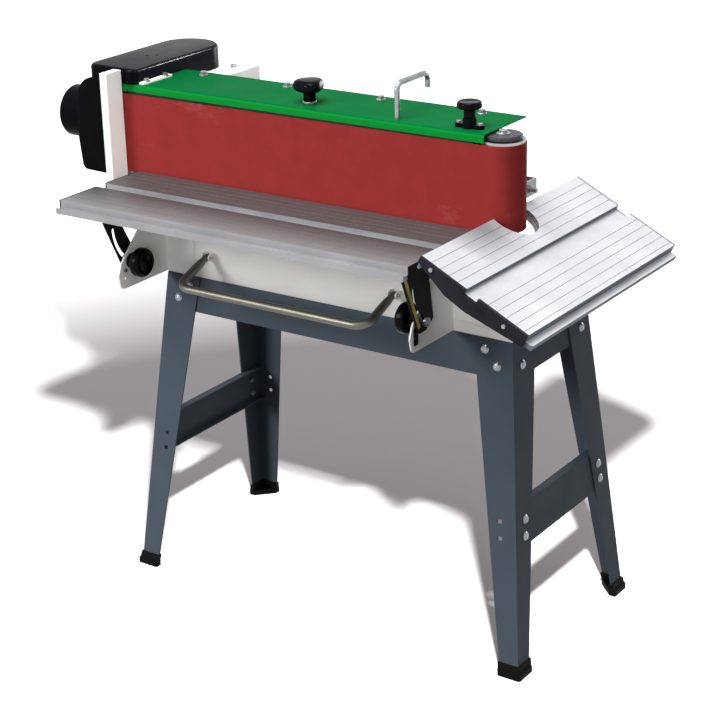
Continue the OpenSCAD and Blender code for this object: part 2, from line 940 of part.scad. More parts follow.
module angle_scale() {
  top = [hinge_y, hinge_z] + right_edges[0];
  foot = [hinge_y, hinge_z] + right_edges[1];
  along = (foot - top) / norm(foot - top);
  across = [-along[1], along[0]];
  border = 2.5;
  width = 7.2;
  first = top + 2 * along + border * across;
  last = foot - 9 * along + border * across;
  color(yellow)
    place()
      plate_x(arm_x1 + arm_t, arm_x1 + arm_t + scale_t)
        polygon([first, last, last + width * across, first + width * across]);
}

module table_screws() {
  top = table_h - table_skin - arm_t;
  color(steel)
    place()
      for (x = [arm_x0 + arm_pad - 9, arm_x1 + arm_t - arm_pad + 9], w = arm_screw_w) {
        rod_z(2.5, top - 1, table_h - 3.5, x, main_rear - w);
        rod_z(4.5, top - 3, top, x, main_rear - w);
      }
}

// End table: built level, then turned about its hinge
module tilted() {
  translate(end_pivot)
    rotate([0, end_tilt, 0])
      translate(-end_pivot)
        children();
}

notch_across = idler_x - end_x;
cap_deep = 34;
cap_shallow = 11;
cap_screws = [[26, 8], [table_w - 41, 11]];

module end_table() {
  color(alloy)
    place()
      tilted()
        difference() {
          plate_y(end_front + end_cap_t, end_back - end_cap_t)
            polygon([for (p = table_section()) [end_x + p[0], table_h - p[1]]]);
          rod_z(notch_r, table_h - 60, table_h + 20, end_x + notch_across, axis_y);
        }
}

module end_cap_outline() {
  difference() {
    polygon([
      [end_x, table_h], [end_x + table_w, table_h], [end_x + table_w, table_h - lip_bottom],
      [end_x + mid_w, table_h - cap_deep], [end_x + mid_w * 0.6, table_h - cap_deep + 2],
      [end_x, table_h - cap_shallow]
    ]);
    translate([end_x + groove_in, table_h - groove_depth])
      square([groove_w, groove_depth + 1]);
    for (s = cap_screws)
      translate([end_x + s[0], table_h - s[1]])
        circle(2.2);
  }
}

module end_table_caps() {
  color(dark)
    place()
      tilted() {
        plate_y(end_front, end_front + end_cap_t)
          end_cap_outline();
        plate_y(end_back - end_cap_t, end_back)
          end_cap_outline();
      }
}

module end_table_screws() {
  head = 2.2;
  head_r = 3.6;
  color(steel)
    place()
      tilted()
        for (s = cap_screws) {
          rod_y(head_r, end_front - head, end_front, end_x + s[0], table_h - s[1]);
          rod_y(2, end_front - eps, end_front + end_cap_t, end_x + s[0], table_h - s[1]);
          rod_y(head_r, end_back, end_back + head, end_x + s[0], table_h - s[1]);
          rod_y(2, end_back - end_cap_t, end_back + eps, end_x + s[0], table_h - s[1]);
        }
}

// Hinge ear and quadrant reach up to the skin between the extrusion's ribs
quad_y = bracket_rear_y + panel_sheet + slip;

module hinge_eye() {
  skin_z = table_h - table_skin;
  difference() {
    union() {
      translate([end_pivot[0], end_pivot[2]])
        circle(15);
      translate([end_pivot[0] - ear_half, end_pivot[2] + 8])
        square([2 * ear_half, skin_z - end_pivot[2] - 8]);
      translate([end_pivot[0] - 15, end_pivot[2]])
        square([30, 9]);
    }
    translate([end_pivot[0], end_pivot[2]])
      circle(d = end_pin_d + 2 * running);
  }
}

module end_hinge_plates() {
  rim = end_lock_r + 12;
  color(dark)
    place()
      tilted() {
        plate_y(ear_front_y, ear_front_y + ear_t)
          hinge_eye();
        plate_y(quad_y, quad_y + quad_t) {
          hinge_eye();
          difference() {
            translate([end_pivot[0], end_pivot[2]])
              intersection() {
                difference() {
                  circle(rim);
                  circle(14);
                }
                polygon([
                  [0, 0], 2 * rim * [cos(-112), sin(-112)], 2 * rim * [cos(-70), sin(-70)],
                  2 * rim * [cos(-26), sin(-26)]
                ]);
              }
            translate([end_pivot[0], end_pivot[2]])
              arc_slot(end_lock_r, clamp_bolt_d / 2 + slip, -91, -89 + tilt_max);
          }
        }
      }
}

module end_hinge_brackets() {
  foot = 34;
  x = end_pivot[0];
  z = end_pivot[2];
  lock_z = z - end_lock_r;
  color(cream)
    place() {
      difference() {
        union() {
          plate_y(ear_front_y - ear_t - slip, ear_front_y - slip) {
            translate([x, z])
              circle(13);
            translate([x - 22, base_top])
              square([44, 14]);
            translate([x - 13, base_top])
              square([26, z - base_top]);
          }
          box(x - 22, x + 22, ear_front_y - ear_t - slip, ear_front_y - slip + foot - ear_t,
            base_top, base_top + 5);
          plate_y(bracket_rear_y, bracket_rear_y + panel_sheet) {
            translate([x, z])
              circle(13);
            translate([x - 30, stand_h + 8])
              square([60, base_h - 10]);
            translate([x - 13, stand_h + 20])
              square([26, z - stand_h - 20]);
          }
        }
        rod_y(end_pin_d / 2, end_front, reach_back, x, z);
      }
      rod_y(clamp_bolt_d / 2, bracket_rear_y - base_sheet, quad_y + quad_t + slip + knob_h - 4, x, lock_z);
      rod_y(clamp_bolt_d / 2 + 4, bracket_rear_y - base_sheet - 5, bracket_rear_y - base_sheet, x, lock_z);
    }
}

module end_lock_knob() {
  color(black)
    place()
      translate([end_pivot[0], quad_y + quad_t + slip, end_pivot[2] - end_lock_r])
        rotate([-90, 0, 0])
          mushroom_knob(50, knob_h, 12, clamp_bolt_d / 2 + running);
}

// Head frame: a tall channel inside the belt loop with arms above and below the drive drum
stub_r = 8;
bearing_seat_r = 21;
yoke_right = frame_right - 2;
yoke_left = yoke_right - 33;
spring_seat = yoke_left - 55;
bar_z = frame_top_z - 20;
bar_plate = 6;

module head_frame() {
  y0 = frame_front;
  y1 = frame_back;
  ledge_z = arm_lower_z - slip;
  color(cream)
    place() {
      difference() {
        union() {
          box(frame_left, frame_right, y0, y0 + frame_wall, base_top, frame_top_z);
          box(frame_left, frame_right, y1 - frame_wall, y1, base_top, frame_top_z);
          box(frame_left, frame_right, y0, y1, base_top, base_top + frame_wall);
          box(frame_left, yoke_left - 14, y0, y1, frame_top_z - 6, frame_top_z);
          box(spring_seat - frame_wall, spring_seat, y0, y1, base_top, frame_top_z);
          box(spring_seat - frame_wall, frame_right, y0, y1, ledge_z - 8, ledge_z);
          box(frame_arm_end, frame_left + 40, y0 + 6, y1 - 6, arm_lower_z, arm_lower_z + arm_plate_t);
          box(frame_left, frame_left + 40, y0 + 1, y1 - 1, arm_lower_z, arm_lower_z + arm_plate_t);
          box(frame_arm_end, frame_left + 40, y0 + 6, y1 - 6, upper_arm_z, upper_arm_z + 8);
          box(frame_left + 6, frame_left + 40, y0 + 6, y1 - 6, frame_top_z - eps, upper_arm_z + eps);
          rod_z(stub_r, arm_lower_z, drum_z + 18, drive_x, axis_y);
        }
        rod_z(bearing_seat_r, upper_arm_z - 1, upper_arm_z + 9, drive_x, axis_y);
        rod_z(lever_rod_d / 2 + running, frame_top_z - 20, frame_top_z + 1, lever_x, lever_y);
        box(spring_seat - frame_wall - 6, spring_seat + 5, lever_y - 6, lever_y + 13,
          bar_z - 1, bar_z + bar_plate + 1);
      }
      rod_z(cover_stud_r, frame_top_z - eps, cover_z + 32, cover_knob_x, cover_knob_y);
    }
}

module platen() {
  y0 = -belt_front + belt_t + slip;
  color(dark)
    place()
      box(frame_left + 2, frame_right + 8, y0, y0 + platen_t + slip, belt_z + 3, belt_top + 4);
}

// Belts: the band around two drums of one size
module band_2d(r) {
  translate([drive_x, axis_y])
    circle(r, $fn = 128);
  translate([idler_x, axis_y])
    circle(r, $fn = 128);
  translate([drive_x, axis_y - r])
    square([drum_spacing, 2 * r]);
}

module sanding_belt() {
  skew = atan(belt_skew / drum_spacing);
  color(abrasive)
    place()
      intersection() {
        translate([0, 0, belt_z - belt_w])
          linear_extrude(height = 3 * belt_w)
            difference() {
              band_2d(belt_out_r);
              band_2d(belt_in_r);
            }
        translate([idler_x, axis_y, belt_z])
          rotate([0, -skew, 0])
            translate([-2 * drum_spacing, -belt_w, 0])
              cube([3 * drum_spacing, 2 * belt_w, belt_w]);
      }
}

module rear_panel() {
  x0 = hood_left;
  x1 = panel_right;
  y1 = panel_y + panel_sheet;
  top = cover_z - cover_sheet;
  color(cream)
    place() {
      plate_y(panel_y, y1)
        polygon([
          [base_left, base_top], [x1, base_top], [x1, top], [cover_left, top],
          [cover_left, hood_top], [x0, hood_top], [x0, hood_bottom]
        ]);
      box(base_left, x1, panel_y, y1 + 24, base_top, base_top + panel_sheet);
      difference() {
        box(cover_left, x1, panel_y - 28, y1, top - panel_sheet, top);
        cover_bolt_holes(3);
      }
    }
}

cover_bolt_x = [-414, -218, -12, 197];
cover_bolt_y = cover_back - 23;

module cover_bolt_holes(r) {
  for (x = cover_bolt_x)
    rod_z(r, cover_z - 12, cover_z + 1, x, cover_bolt_y);
}

// Top cover: a sheet folded down along its front edge
module top_cover() {
  fold = 5;
  color(green)
    place()
      difference() {
        plate_x(cover_left, cover_right)
          polygon(rounded([
            [cover_front, cover_z - cover_lip, 0], [cover_front, cover_z, fold],
            [cover_back, cover_z, 0], [cover_back, cover_z - cover_sheet, 0],
            [cover_front + cover_sheet, cover_z - cover_sheet, fold - cover_sheet],
            [cover_front + cover_sheet, cover_z - cover_lip, 0]
          ]));
        cover_bolt_holes(3.3);
        rod_z(lever_rod_d / 2 + slip, cover_z - 10, cover_z + 1, lever_x, lever_y);
        rod_z(cover_stud_r + slip, cover_z - 10, cover_z + 1, cover_knob_x, cover_knob_y);
        for (y = bar_screw_y)
          rod_z(2.3, cover_z - 10, cover_z + 1, bar_x, y);
      }
}

// A hexagon bolt head on a washer, standing on z = 0
module bolt_head(r, h) {
  washer = 1.5;
  cylinder(r = r + 2, h = washer + eps);
  translate([0, 0, washer])
    cylinder(r = r, h = h, $fn = 6);
}

module cover_bolts() {
  color(steel)
    place() {
      for (x = cover_bolt_x) {
        rod_z(2.9, cover_z - cover_sheet - 8, cover_z + 2, x, cover_bolt_y);
        translate([x, cover_bolt_y, cover_z])
          bolt_head(6.5, 6);
      }
      for (y = bar_screw_y) {
        rod_z(2.1, cover_z - cover_sheet - slip, cover_z + bar_h + 1, bar_x, y);
        translate([bar_x, y, cover_z + bar_h])
          bolt_head(4.5, 4);
      }
      for (s = [-1, 1])
        translate([track_x + s * track_half, track_y, cover_z + track_base_h])
          cylinder(r = 4.2, h = 3);
    }
}

bar_x = -467;
bar_half = 6;
bar_h = 4;
bar_y = [-57, 25];
bar_screw_y = [bar_y[0] + 14, bar_y[1] - 14];

module cover_bar() {
  color(cream)
    place()
      difference() {
        box(bar_x - bar_half, bar_x + bar_half, bar_y[0], bar_y[1], cover_z, cover_z + bar_h);
        for (y = bar_screw_y)
          rod_z(2.3, cover_z - 1, cover_z + bar_h + 1, bar_x, y);
      }
}

// Work stop: a folded post just in front of the belt, bolted under the frame's lower arm
module work_stop() {
  y1 = -belt_front - 3;
  y0 = y1 - stop_d;
  low = arm_lower_z - 7;
  color(cream)
    place() {
      difference() {
        box(stop_x, stop_x + stop_w, y0, y1, low, stop_top);
        box(stop_x - 1, stop_x + stop_w - 2, y0 + 2, y1 + 1, low + 7, stop_top - 2);
      }
      box(stop_x, frame_left - 1, y1 - eps, axis_y + 18, low, arm_lower_z);
    }
}

// Dust hood: a shell around the drive drum, open to the belt, with a round port
module hood_outline(inset, top, top_r) {
  x0 = hood_left + inset;
  x1 = hood_right + (inset > 0 ? 5 : 0);
  z0 = hood_bottom + inset;
  belly = 62;
  belly_r = 20;
  low_in = 7;
  low_r = 12;
  top_in = 9;
  polygon(rounded([
    [x1, z0, 0], [x0 + low_in, z0 + hood_rise, low_r], [x0, z0 + belly, belly_r],
    [x0 + top_in, top - inset, top_r - inset], [x1, top - inset, 0]
  ]));
}

module dust_hood() {
  body_r = 12;
  peak_r = 42;
  collar_t = 3;
  band_back = pulley_near - slip;
  reach = belt_out_r + 5;
  mouth = 20;
  color(black)
    place()
      difference() {
        union() {
          plate_y(hood_front, hood_back)
            hood_outline(0, hood_top, body_r);
          plate_y(hood_front, band_back)
            hood_outline(0, hood_peak, peak_r);
          rod_x(port_d / 2, hood_left - port_l, hood_left + 6, port_y, port_z);
          rod_x(port_d / 2 + 4, hood_left - collar_t, hood_left + 10, port_y, port_z);
        }
        plate_y(hood_front + hood_wall, hood_back - hood_wall)
          hood_outline(hood_wall, hood_top, body_r);
        plate_y(hood_front + hood_wall, band_back - hood_wall)
          hood_outline(hood_wall, hood_peak, peak_r);
        rod_x(port_d / 2 - hood_wall, hood_left - port_l - 1, hood_left + 20, port_y, port_z);
        rod_z(reach, hood_top - mouth, hood_top + 1, drive_x, axis_y);
        box(drive_x, hood_right + 1, axis_y - reach, axis_y + reach, hood_top - mouth, hood_top + 1);
        box(frame_arm_end - 1, hood_right + 1, frame_front + 5, frame_back - 5,
          hood_bottom - 1, hood_bottom + hood_wall + 2 * hood_rise);
      }
}

// Pulley cover: a long box with a round far end, stepped over the top cover
module pulley_plan(inset) {
  r = pulley_half - inset;
  near = pulley_near + inset;
  translate([pulley_x, pulley_far])
    circle(r, $fn = 128);
  polygon(rounded([
    [pulley_x - r, pulley_far, 0], [pulley_x - r, near, 25 - inset],
    [pulley_x + r, near, 8 - inset], [pulley_x + r, pulley_far, 0]
  ]));
}

module pulley_cover() {
  boss_in = 14;
  color(black)
    place()
      difference() {
        union() {
          translate([0, 0, hood_top])
            linear_extrude(height = pulley_cover_top - hood_top)
              pulley_plan(0);
          rod_z(7, cover_z + 1, pulley_cover_top - 1, pulley_x + pulley_half - boss_in, pulley_near);
        }
        translate([0, 0, hood_top - 1])
          linear_extrude(height = pulley_cover_top - hood_top - hood_wall + 1)
            pulley_plan(hood_wall);
        box(cover_left - 1, pulley_x + pulley_half + 1, pulley_near - 10, cover_back + 1,
          hood_top - 1, cover_z + slip);
      }
}

module motor_tray() {
  motor_hole_r = 30;
  y0 = panel_y + panel_sheet;
  z0 = hood_top - tray_h;
  color(cream)
    place()
      difference() {
        box(tray_left, tray_right, y0, tray_back, z0, hood_top);
        box(tray_left + panel_sheet, tray_right - panel_sheet, y0 + panel_sheet, tray_back - panel_sheet,
          z0 - 1, hood_top - panel_sheet);
        rod_z(motor_hole_r, hood_top - tray_h, hood_top + 1, drive_x, motor_y);
      }
}

// Motor: finned body hung from the tray, with a fan cowl and a terminal box
module motor_body() {
  top = hood_top - panel_sheet;
  flange = 10;
  low = top - motor_l;
  fin_r = motor_d / 2;
  core_r = fin_r - 7;
  terminal_half = 34;
  color(dark)
    place()
      difference() {
        union() {
          rod_z(core_r, low + 30, top - flange + eps, drive_x, motor_y);
          rod_z(fin_r, top - flange, top, drive_x, motor_y);
          rod_z(fin_r, low, low + 34, drive_x, motor_y);
          for (a = [0:15:345])
            translate([drive_x, motor_y, low + 30])
              rotate([0, 0, a])
                translate([core_r - 2, -1.2, 0])
                  cube([fin_r - core_r + 1, 2.4, motor_l - 50]);
          box(drive_x - terminal_half, drive_x + terminal_half, motor_y + core_r - 8,
            motor_y + fin_r + 24, low + motor_l / 3, low + motor_l * 2 / 3);
        }
        rod_z(motor_shaft_r + running, top - 60, top + 1, drive_x, motor_y);
      }
}

motor_shaft_r = 9;

v_belt_h = 8;
v_belt_t = 6;

// Flat pulley with a belt groove, about +Z from z = 0; a bore of 0 makes it solid
module pulley(r, bore_r, h) {
  rim = r + 4;
  floor_r = r - v_belt_t / 2 - slip;
  low = h / 2 - v_belt_h / 2 - slip;
  rotate_extrude()
    polygon([
      [bore_r, 0], [rim, 0], [rim, low], [floor_r, low],
      [floor_r, h - low], [rim, h - low], [rim, h], [bore_r, h]
    ]);
}

module motor_rotor() {
  color(steel)
    place() {
      rod_z(motor_shaft_r, hood_top - panel_sheet - 55, pulley_z + eps, drive_x, motor_y);
      translate([drive_x, motor_y, pulley_z])
        pulley(motor_pulley_d / 2, 0, pulley_h);
    }
}

module v_belt() {
  r1 = drum_pulley_d / 2;
  r2 = motor_pulley_d / 2;
  half = v_belt_t / 2;
  color(black)
    place()
      translate([drive_x, 0, pulley_z + pulley_h / 2 - v_belt_h / 2])
        linear_extrude(height = v_belt_h)
          difference() {
            loop_2d(r1 + half, axis_y, r2 + half, motor_y);
            loop_2d(r1 - half, axis_y, r2 - half, motor_y);
          }
}

// Drive drum: a closed-top tube on a lower bearing, with its shaft up to the pulley
bearing_h = 10;
lower_race_r = 16;

module drive_drum() {
  wall = 6;
  seat = lower_race_r + running;
  color(steel)
    place()
      translate([drive_x, axis_y, 0])
        rotate_extrude()
          polygon([
            [seat, drum_z], [drum_r, drum_z], [drum_r, drum_top], [drive_shaft_d / 2, drum_top],
            [drive_shaft_d / 2, pulley_z + pulley_h], [0, pulley_z + pulley_h], [0, drum_top - 14],
            [drum_r - wall, drum_top - 14], [drum_r - wall, drum_z + 20], [seat, drum_z + 20]
          ]);
}

module drum_pulley() {
  color(dark)
    place()
      translate([drive_x, axis_y, pulley_z])
        pulley(drum_pulley_d / 2, drive_shaft_d / 2, pulley_h);
}

module ring(r0, r1, z0, z1) {
  translate([0, 0, z0])
    difference() {
      cylinder(r = r1, h = z1 - z0);
      translate([0, 0, -1])
        cylinder(r = r0, h = z1 - z0 + 2);
    }
}

module drum_bearings() {
  color(steel)
    place()
      translate([drive_x, axis_y, 0]) {
        ring(stub_r, lower_race_r, drum_z + 3, drum_z + 3 + bearing_h);
        ring(drive_shaft_d / 2 + running, bearing_seat_r, upper_arm_z, upper_arm_z + 8);
      }
}

// Idler yoke: slides in the frame, holds the shaft above and below, and has the pull bar
module idler_yoke() {
  y0 = frame_front + frame_wall + slip;
  y1 = frame_back - frame_wall - slip;
  pin = crank_r / sqrt(2);
  upper_r = 33;
  lower_r = 24;
  shaft = idler_shaft_d / 2;
  color(dark)
    place()
      difference() {
        union() {
          box(yoke_left, yoke_right, y0, y1, arm_lower_z, upper_arm_z + 6);
          box(yoke_right - eps, idler_x, axis_y - lower_r, axis_y + lower_r, arm_lower_z,
            arm_lower_z + arm_plate_t);
          rod_z(lower_r, arm_lower_z, arm_lower_z + arm_plate_t, idler_x, axis_y);
          box(yoke_right - eps, idler_x, axis_y - 26, axis_y + 26, upper_arm_z, upper_arm_z + 6);
          rod_z(upper_r, upper_arm_z, upper_arm_z + 4.5, idler_x, axis_y);
          rod_z(upper_r - 2, upper_arm_z, upper_arm_z + 6, idler_x, axis_y);
          box(lever_x - 12, yoke_left + eps, lever_y - 5, lever_y + 12, bar_z, bar_z + bar_plate);
        }
        rod_z(shaft, arm_lower_z - 1, upper_arm_z + 10, idler_x, axis_y);
        box(lever_x + pin - pin_r - 0.8, lever_x + pin + pin_r + 0.8, lever_y - 2, lever_y + 2 * pin + 5,
          bar_z - 1, bar_z + bar_plate + 1);
      }
}

module idler_shaft() {
  top = upper_arm_z + 6;
  color(steel)
    place() {
      rod_z(idler_shaft_d / 2, arm_lower_z, top, idler_x, axis_y);
      translate([idler_x, axis_y, top - eps])
        cylinder(r = 12, h = 1.6);
      translate([idler_x, axis_y, top + 1.5])
        cylinder(r = 8, h = 5, $fn = 6);
    }
}

module idler_drum() {
  wall = 6;
  seat = bearing_seat_r + running;
  color(steel)
    place()
      translate([idler_x, axis_y, 0])
        rotate_extrude()
          polygon([
            [seat, drum_z], [drum_r, drum_z], [drum_r, drum_top], [seat, drum_top],
            [seat, drum_top - 20], [drum_r - wall, drum_top - 24],
            [drum_r - wall, drum_z + 24], [seat, drum_z + 20]
          ]);
}

module idler_bearings() {
  color(steel)
    place()
      translate([idler_x, axis_y, 0])
        for (z = [drum_z + 3, drum_top - 3 - bearing_h])
          ring(idler_shaft_d / 2, bearing_seat_r, z, z + bearing_h);
}

// Tension spring: one wire wound along X between the frame's stop plate and the yoke
spring_r = 12;
spring_z = (belt_z + belt_top) / 2;
spring_from = spring_seat + spring_wire / 2 + 0.2;
spring_to = yoke_left - spring_wire / 2 - 0.2;
ring_sides = 6;
turn_rings = 8;

function spring_point(t) = [
  spring_from + (spring_to - spring_from) * t / spring_turns,
  axis_y + spring_r * cos(360 * t),
  spring_z + spring_r * sin(360 * t)
];

function wire_ring(t) =
  let (
    across = [0, cos(360 * t), sin(360 * t)],
    run = (spring_point(t + 0.01) - spring_point(t - 0.01)),
    ahead = run / norm(run),
    up = cross(ahead, across)
  )
  [
    for (k = [0:ring_sides - 1])
      let (a = 360 * k / ring_sides)
      spring_point(t) + spring_wire / 2 * (cos(a) * across + sin(a) * up)
  ];

spring_gap = (spring_to - spring_from) / spring_turns - spring_wire;

module tension_spring() {
  rings = spring_turns * turn_rings;
  points = [for (i = [0:rings]) each wire_ring(i / turn_rings)];
  sides = [
    for (i = [0:rings - 1], k = [0:ring_sides - 1])
      let (a = i * ring_sides + k, b = i * ring_sides + (k + 1) % ring_sides)
      each [[a, b, a + ring_sides], [b, b + ring_sides, a + ring_sides]]
  ];
  first = [for (k = [1:ring_sides - 2]) [0, k + 1, k]];
  base = rings * ring_sides;
  last = [for (k = [1:ring_sides - 2]) [base, base + k, base + k + 1]];
  echo(least_gap_of_spring = spring_gap);
  color(steel)
    place()
      polyhedron(points, concat(sides, first, last));
}

// Tension lever: a bent rod with a crank pin below the frame's top
module tension_lever() {
  r = lever_rod_d / 2;
  bend = 14;
  top = cover_z + lever_h;
  drop = 26;
  pin = crank_r / sqrt(2);
  crank_z = frame_top_z - 6 - slip - 5;
  color(steel)
    place()
      translate([lever_x, lever_y, 0]) {
        rod_z(r, crank_z, top - bend, 0, 0);
        translate([0, bend, top - bend])
          rotate([0, -90, 0])
            rotate_extrude(angle = -90)
              translate([bend, 0])
                circle(r);
        rod_y(r, bend, lever_reach - bend, 0, top);
        translate([0, lever_reach - bend, top - bend])
          rotate([0, -90, 0])
            rotate_extrude(angle = 90)
              translate([bend, 0])
                circle(r);
        rod_z(r, top - drop, top - bend, 0, lever_reach);
        rod_z(pin_r + 1.5, crank_z, crank_z + 5, pin, pin);
        rod_z(pin_r, bar_z, crank_z + eps, pin, pin);
      }
}

module cover_knob() {
  stem = cover_z + slip;
  head = cover_z + 20;
  head_h = 24;
  lobes = 6;
  lobe_r = 9;
  color(black)
    place()
      translate([cover_knob_x, cover_knob_y, 0])
        difference() {
          union() {
            rod_z(7, stem, stem + 4, 0, 0);
            rod_z(11, stem + 4 - eps, head + 4, 0, 0);
            rod_z(cover_knob_d / 2 - lobe_r, head, head + head_h - 5, 0, 0);
            for (i = [0:lobes - 1])
              rotate([0, 0, 360 * i / lobes])
                rod_z(lobe_r, head + 3, head + head_h - 6, cover_knob_d / 2 - lobe_r, 0);
            rod_z(cover_knob_d / 2 - lobe_r - 4, head + head_h - 6, head + head_h, 0, 0);
          }
          rod_z(cover_stud_r + running, stem - 1, cover_z + 33, 0, 0);
        }
}

track_half = 21;
track_base_h = 7;
track_neck_h = 18;

module tracking_base() {
  end_r = 7;
  color(black)
    place()
      translate([track_x, track_y, cover_z])
        difference() {
          union() {
            cylinder(r = 12, h = track_neck_h);
            translate([-track_half, -end_r, 0])
              cube([2 * track_half, 2 * end_r, track_base_h]);
            for (s = [-1, 1])
              translate([s * track_half, 0, 0])
                cylinder(r = end_r, h = track_base_h);
          }
          translate([0, 0, 2])
            cylinder(r = 6 + running, h = track_neck_h);
        }
}

module tracking_knob() {
  low = 2 + slip;
  neck = track_neck_h + slip;
  head = 31;
  rim = tracking_knob_d / 2;
  color(black)
    place()
      translate([track_x, track_y, cover_z])
        rotate_extrude()
          polygon([
            [0, low], [6, low], [6, neck], [10, neck], [10, head], [rim - 3, head + 1],
            [rim, head + 5], [rim, head + 11], [rim - 3, head + 14], [0, head + 15]
          ]);
}

module tracking_bracket() {
  x0 = cover_right + 20;
  t = 4;
  y1 = panel_y;
  y0 = y1 - 40;
  z0 = table_h + 34;
  z1 = z0 + 28;
  bolt_y = y0 + 12;
  bolt_z = z0 + 14;
  color(steel)
    place() {
      difference() {
        union() {
          box(x0, x0 + t, y0, y1, z0, z1);
          box(panel_right - 26, x0 + eps, y1 - t, y1, z0, z1);
        }
        rod_x(4, x0 - 5, x0 + 10, bolt_y, bolt_z);
      }
      rod_x(4, x0 - 16, x0 + 20, bolt_y, bolt_z);
      translate([x0 + t, bolt_y, bolt_z])
        rotate([0, 90, 0])
          cylinder(r = 7.5, h = 6, $fn = 6);
    }
}

// Front bail: a bent rod with an eye at each end
module front_bail() {
  r = bail_rod_d / 2;
  bend = 20;
  color(steel)
    place()
      translate([0, bail_y, bail_z])
        rotate([bail_drop, 0, 0])
          difference() {
            union() {
              for (x = bail_ends) {
                rod_x(r, x - eye_half, x + eye_half, 0, 0);
                rod_y(r, -bail_reach + bend, -bail_pin_r - 1, x, 0);
              }
              translate([bail_x + bend, -bail_reach + bend, 0])
                rotate([0, 0, 180])
                  rotate_extrude(angle = 90)
                    translate([bend, 0])
                      circle(r);
              translate([bail_x + bail_w - bend, -bail_reach + bend, 0])
                rotate([0, 0, 270])
                  rotate_extrude(angle = 90)
                    translate([bend, 0])
                      circle(r);
              rod_x(r, bail_x + bend, bail_x + bail_w - bend, -bail_reach, 0);
            }
            for (x = bail_ends)
              rod_x(bail_pin_r + running, x - 20, x + 20, 0, 0);
          }
}

button_y = [switch_y - 22, switch_y + 22];

module switch_box() {
  half_y = 46;
  half_z = 34;
  x1 = base_left;
  x0 = x1 - switch_d;
  color(dark)
    place()
      difference() {
        plate_x(x0, x1)
          polygon(rounded([
            [switch_y - half_y, switch_z - half_z, 6], [switch_y + half_y, switch_z - half_z, 6],
            [switch_y + half_y, switch_z + half_z, 6], [switch_y - half_y, switch_z + half_z, 6]
          ]));
        for (y = button_y)
          rod_x(button_d / 2 + running, x0 - 1, x0 + 20, y, switch_z);
      }
}

module button(y, head_r, head_h) {
  x0 = base_left - switch_d;
  rod_x(button_d / 2, x0 - button_travel - 1, x0 + 14, y, switch_z);
  rod_x(head_r, x0 - button_travel - 1 - head_h, x0 - button_travel - 1 + eps, y, switch_z);
}

module start_button() {
  color("green")
    place()
      button(button_y[0], button_d / 2 - 1.5, 2);
}

module stop_button() {
  color("red")
    place()
      button(button_y[1], button_d / 2 + 4, 7);
}

module cable_gland() {
  back = -base_front;
  color(black)
    place()
      difference() {
        union() {
          rod_y(gland_r, back - base_sheet - 8, back + 20, gland_x, gland_z);
          rod_y(gland_r + 4, back, back + 5, gland_x, gland_z);
          rod_y(gland_r + 3, back + 9, back + 19, gland_x, gland_z);
        }
        rod_y(gland_r - 3, back - 20, back + 30, gland_x, gland_z);
      }
}

leg_front_left();
leg_front_right();
leg_rear_left();
leg_rear_right();
long_rails();
end_rails();
end_braces();
rubber_feet();
stand_bolts();
base_box();
bracket_left();
bracket_right();
hinge_pins();
scale_pointer();
clamp_knob_left();
clamp_knob_right();
main_table();
main_end_caps();
table_arm_left();
table_arm_right();
angle_scale();
table_screws();
end_table();
end_table_caps();
end_table_screws();
end_hinge_plates();
end_hinge_brackets();
end_lock_knob();
head_frame();
platen();
sanding_belt();
rear_panel();
top_cover();
cover_bolts();
cover_bar();
work_stop();
dust_hood();
pulley_cover();
motor_tray();
motor_body();
motor_rotor();
drive_drum();
drum_pulley();
v_belt();
drum_bearings();
idler_yoke();
idler_shaft();
idler_drum();
idler_bearings();
tension_spring();
tension_lever();
cover_knob();
tracking_base();
tracking_knob();
tracking_bracket();
front_bail();
switch_box();
start_button();
stop_button();
cable_gland();
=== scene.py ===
"""Looks of the floor-stand belt edge sander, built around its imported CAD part."""

import math

import bmesh
import bpy
from mathutils import Matrix, Vector


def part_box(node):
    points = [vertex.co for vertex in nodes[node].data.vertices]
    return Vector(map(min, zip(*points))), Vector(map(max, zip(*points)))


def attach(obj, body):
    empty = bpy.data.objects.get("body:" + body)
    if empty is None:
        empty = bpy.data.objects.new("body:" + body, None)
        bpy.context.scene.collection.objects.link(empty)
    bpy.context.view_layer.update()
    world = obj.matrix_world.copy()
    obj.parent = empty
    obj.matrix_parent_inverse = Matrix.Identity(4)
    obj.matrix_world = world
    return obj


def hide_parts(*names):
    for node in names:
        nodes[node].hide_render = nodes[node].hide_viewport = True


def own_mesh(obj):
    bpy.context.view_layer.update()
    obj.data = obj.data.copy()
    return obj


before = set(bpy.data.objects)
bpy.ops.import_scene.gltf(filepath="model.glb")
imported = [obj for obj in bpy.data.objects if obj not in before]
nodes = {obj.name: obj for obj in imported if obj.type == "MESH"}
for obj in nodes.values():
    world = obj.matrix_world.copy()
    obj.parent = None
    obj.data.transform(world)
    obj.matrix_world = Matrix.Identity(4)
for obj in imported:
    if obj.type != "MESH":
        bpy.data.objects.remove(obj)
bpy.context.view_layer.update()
scene = bpy.context.scene

MM = 0.001
UP = Vector((0, 0, 1))
FULL_TURN = 2 * math.pi

# The stand's middle on the floor, in the part's frame, in millimetres: pieces are written from there
MACHINE = Vector((96.36, 26.6, 0))

# Camera: the photograph's view, in the part's frame (metres, degrees; lens and sensor in millimetres)
CAMERA_AT = Vector((1.93256, -2.677, 1.7304))
CAMERA_AZIMUTH = 34.607
CAMERA_ELEVATION = 21.482
CAMERA_ROLL = -1.405
CAMERA_LENS = 95.37
CAMERA_SENSOR = 36

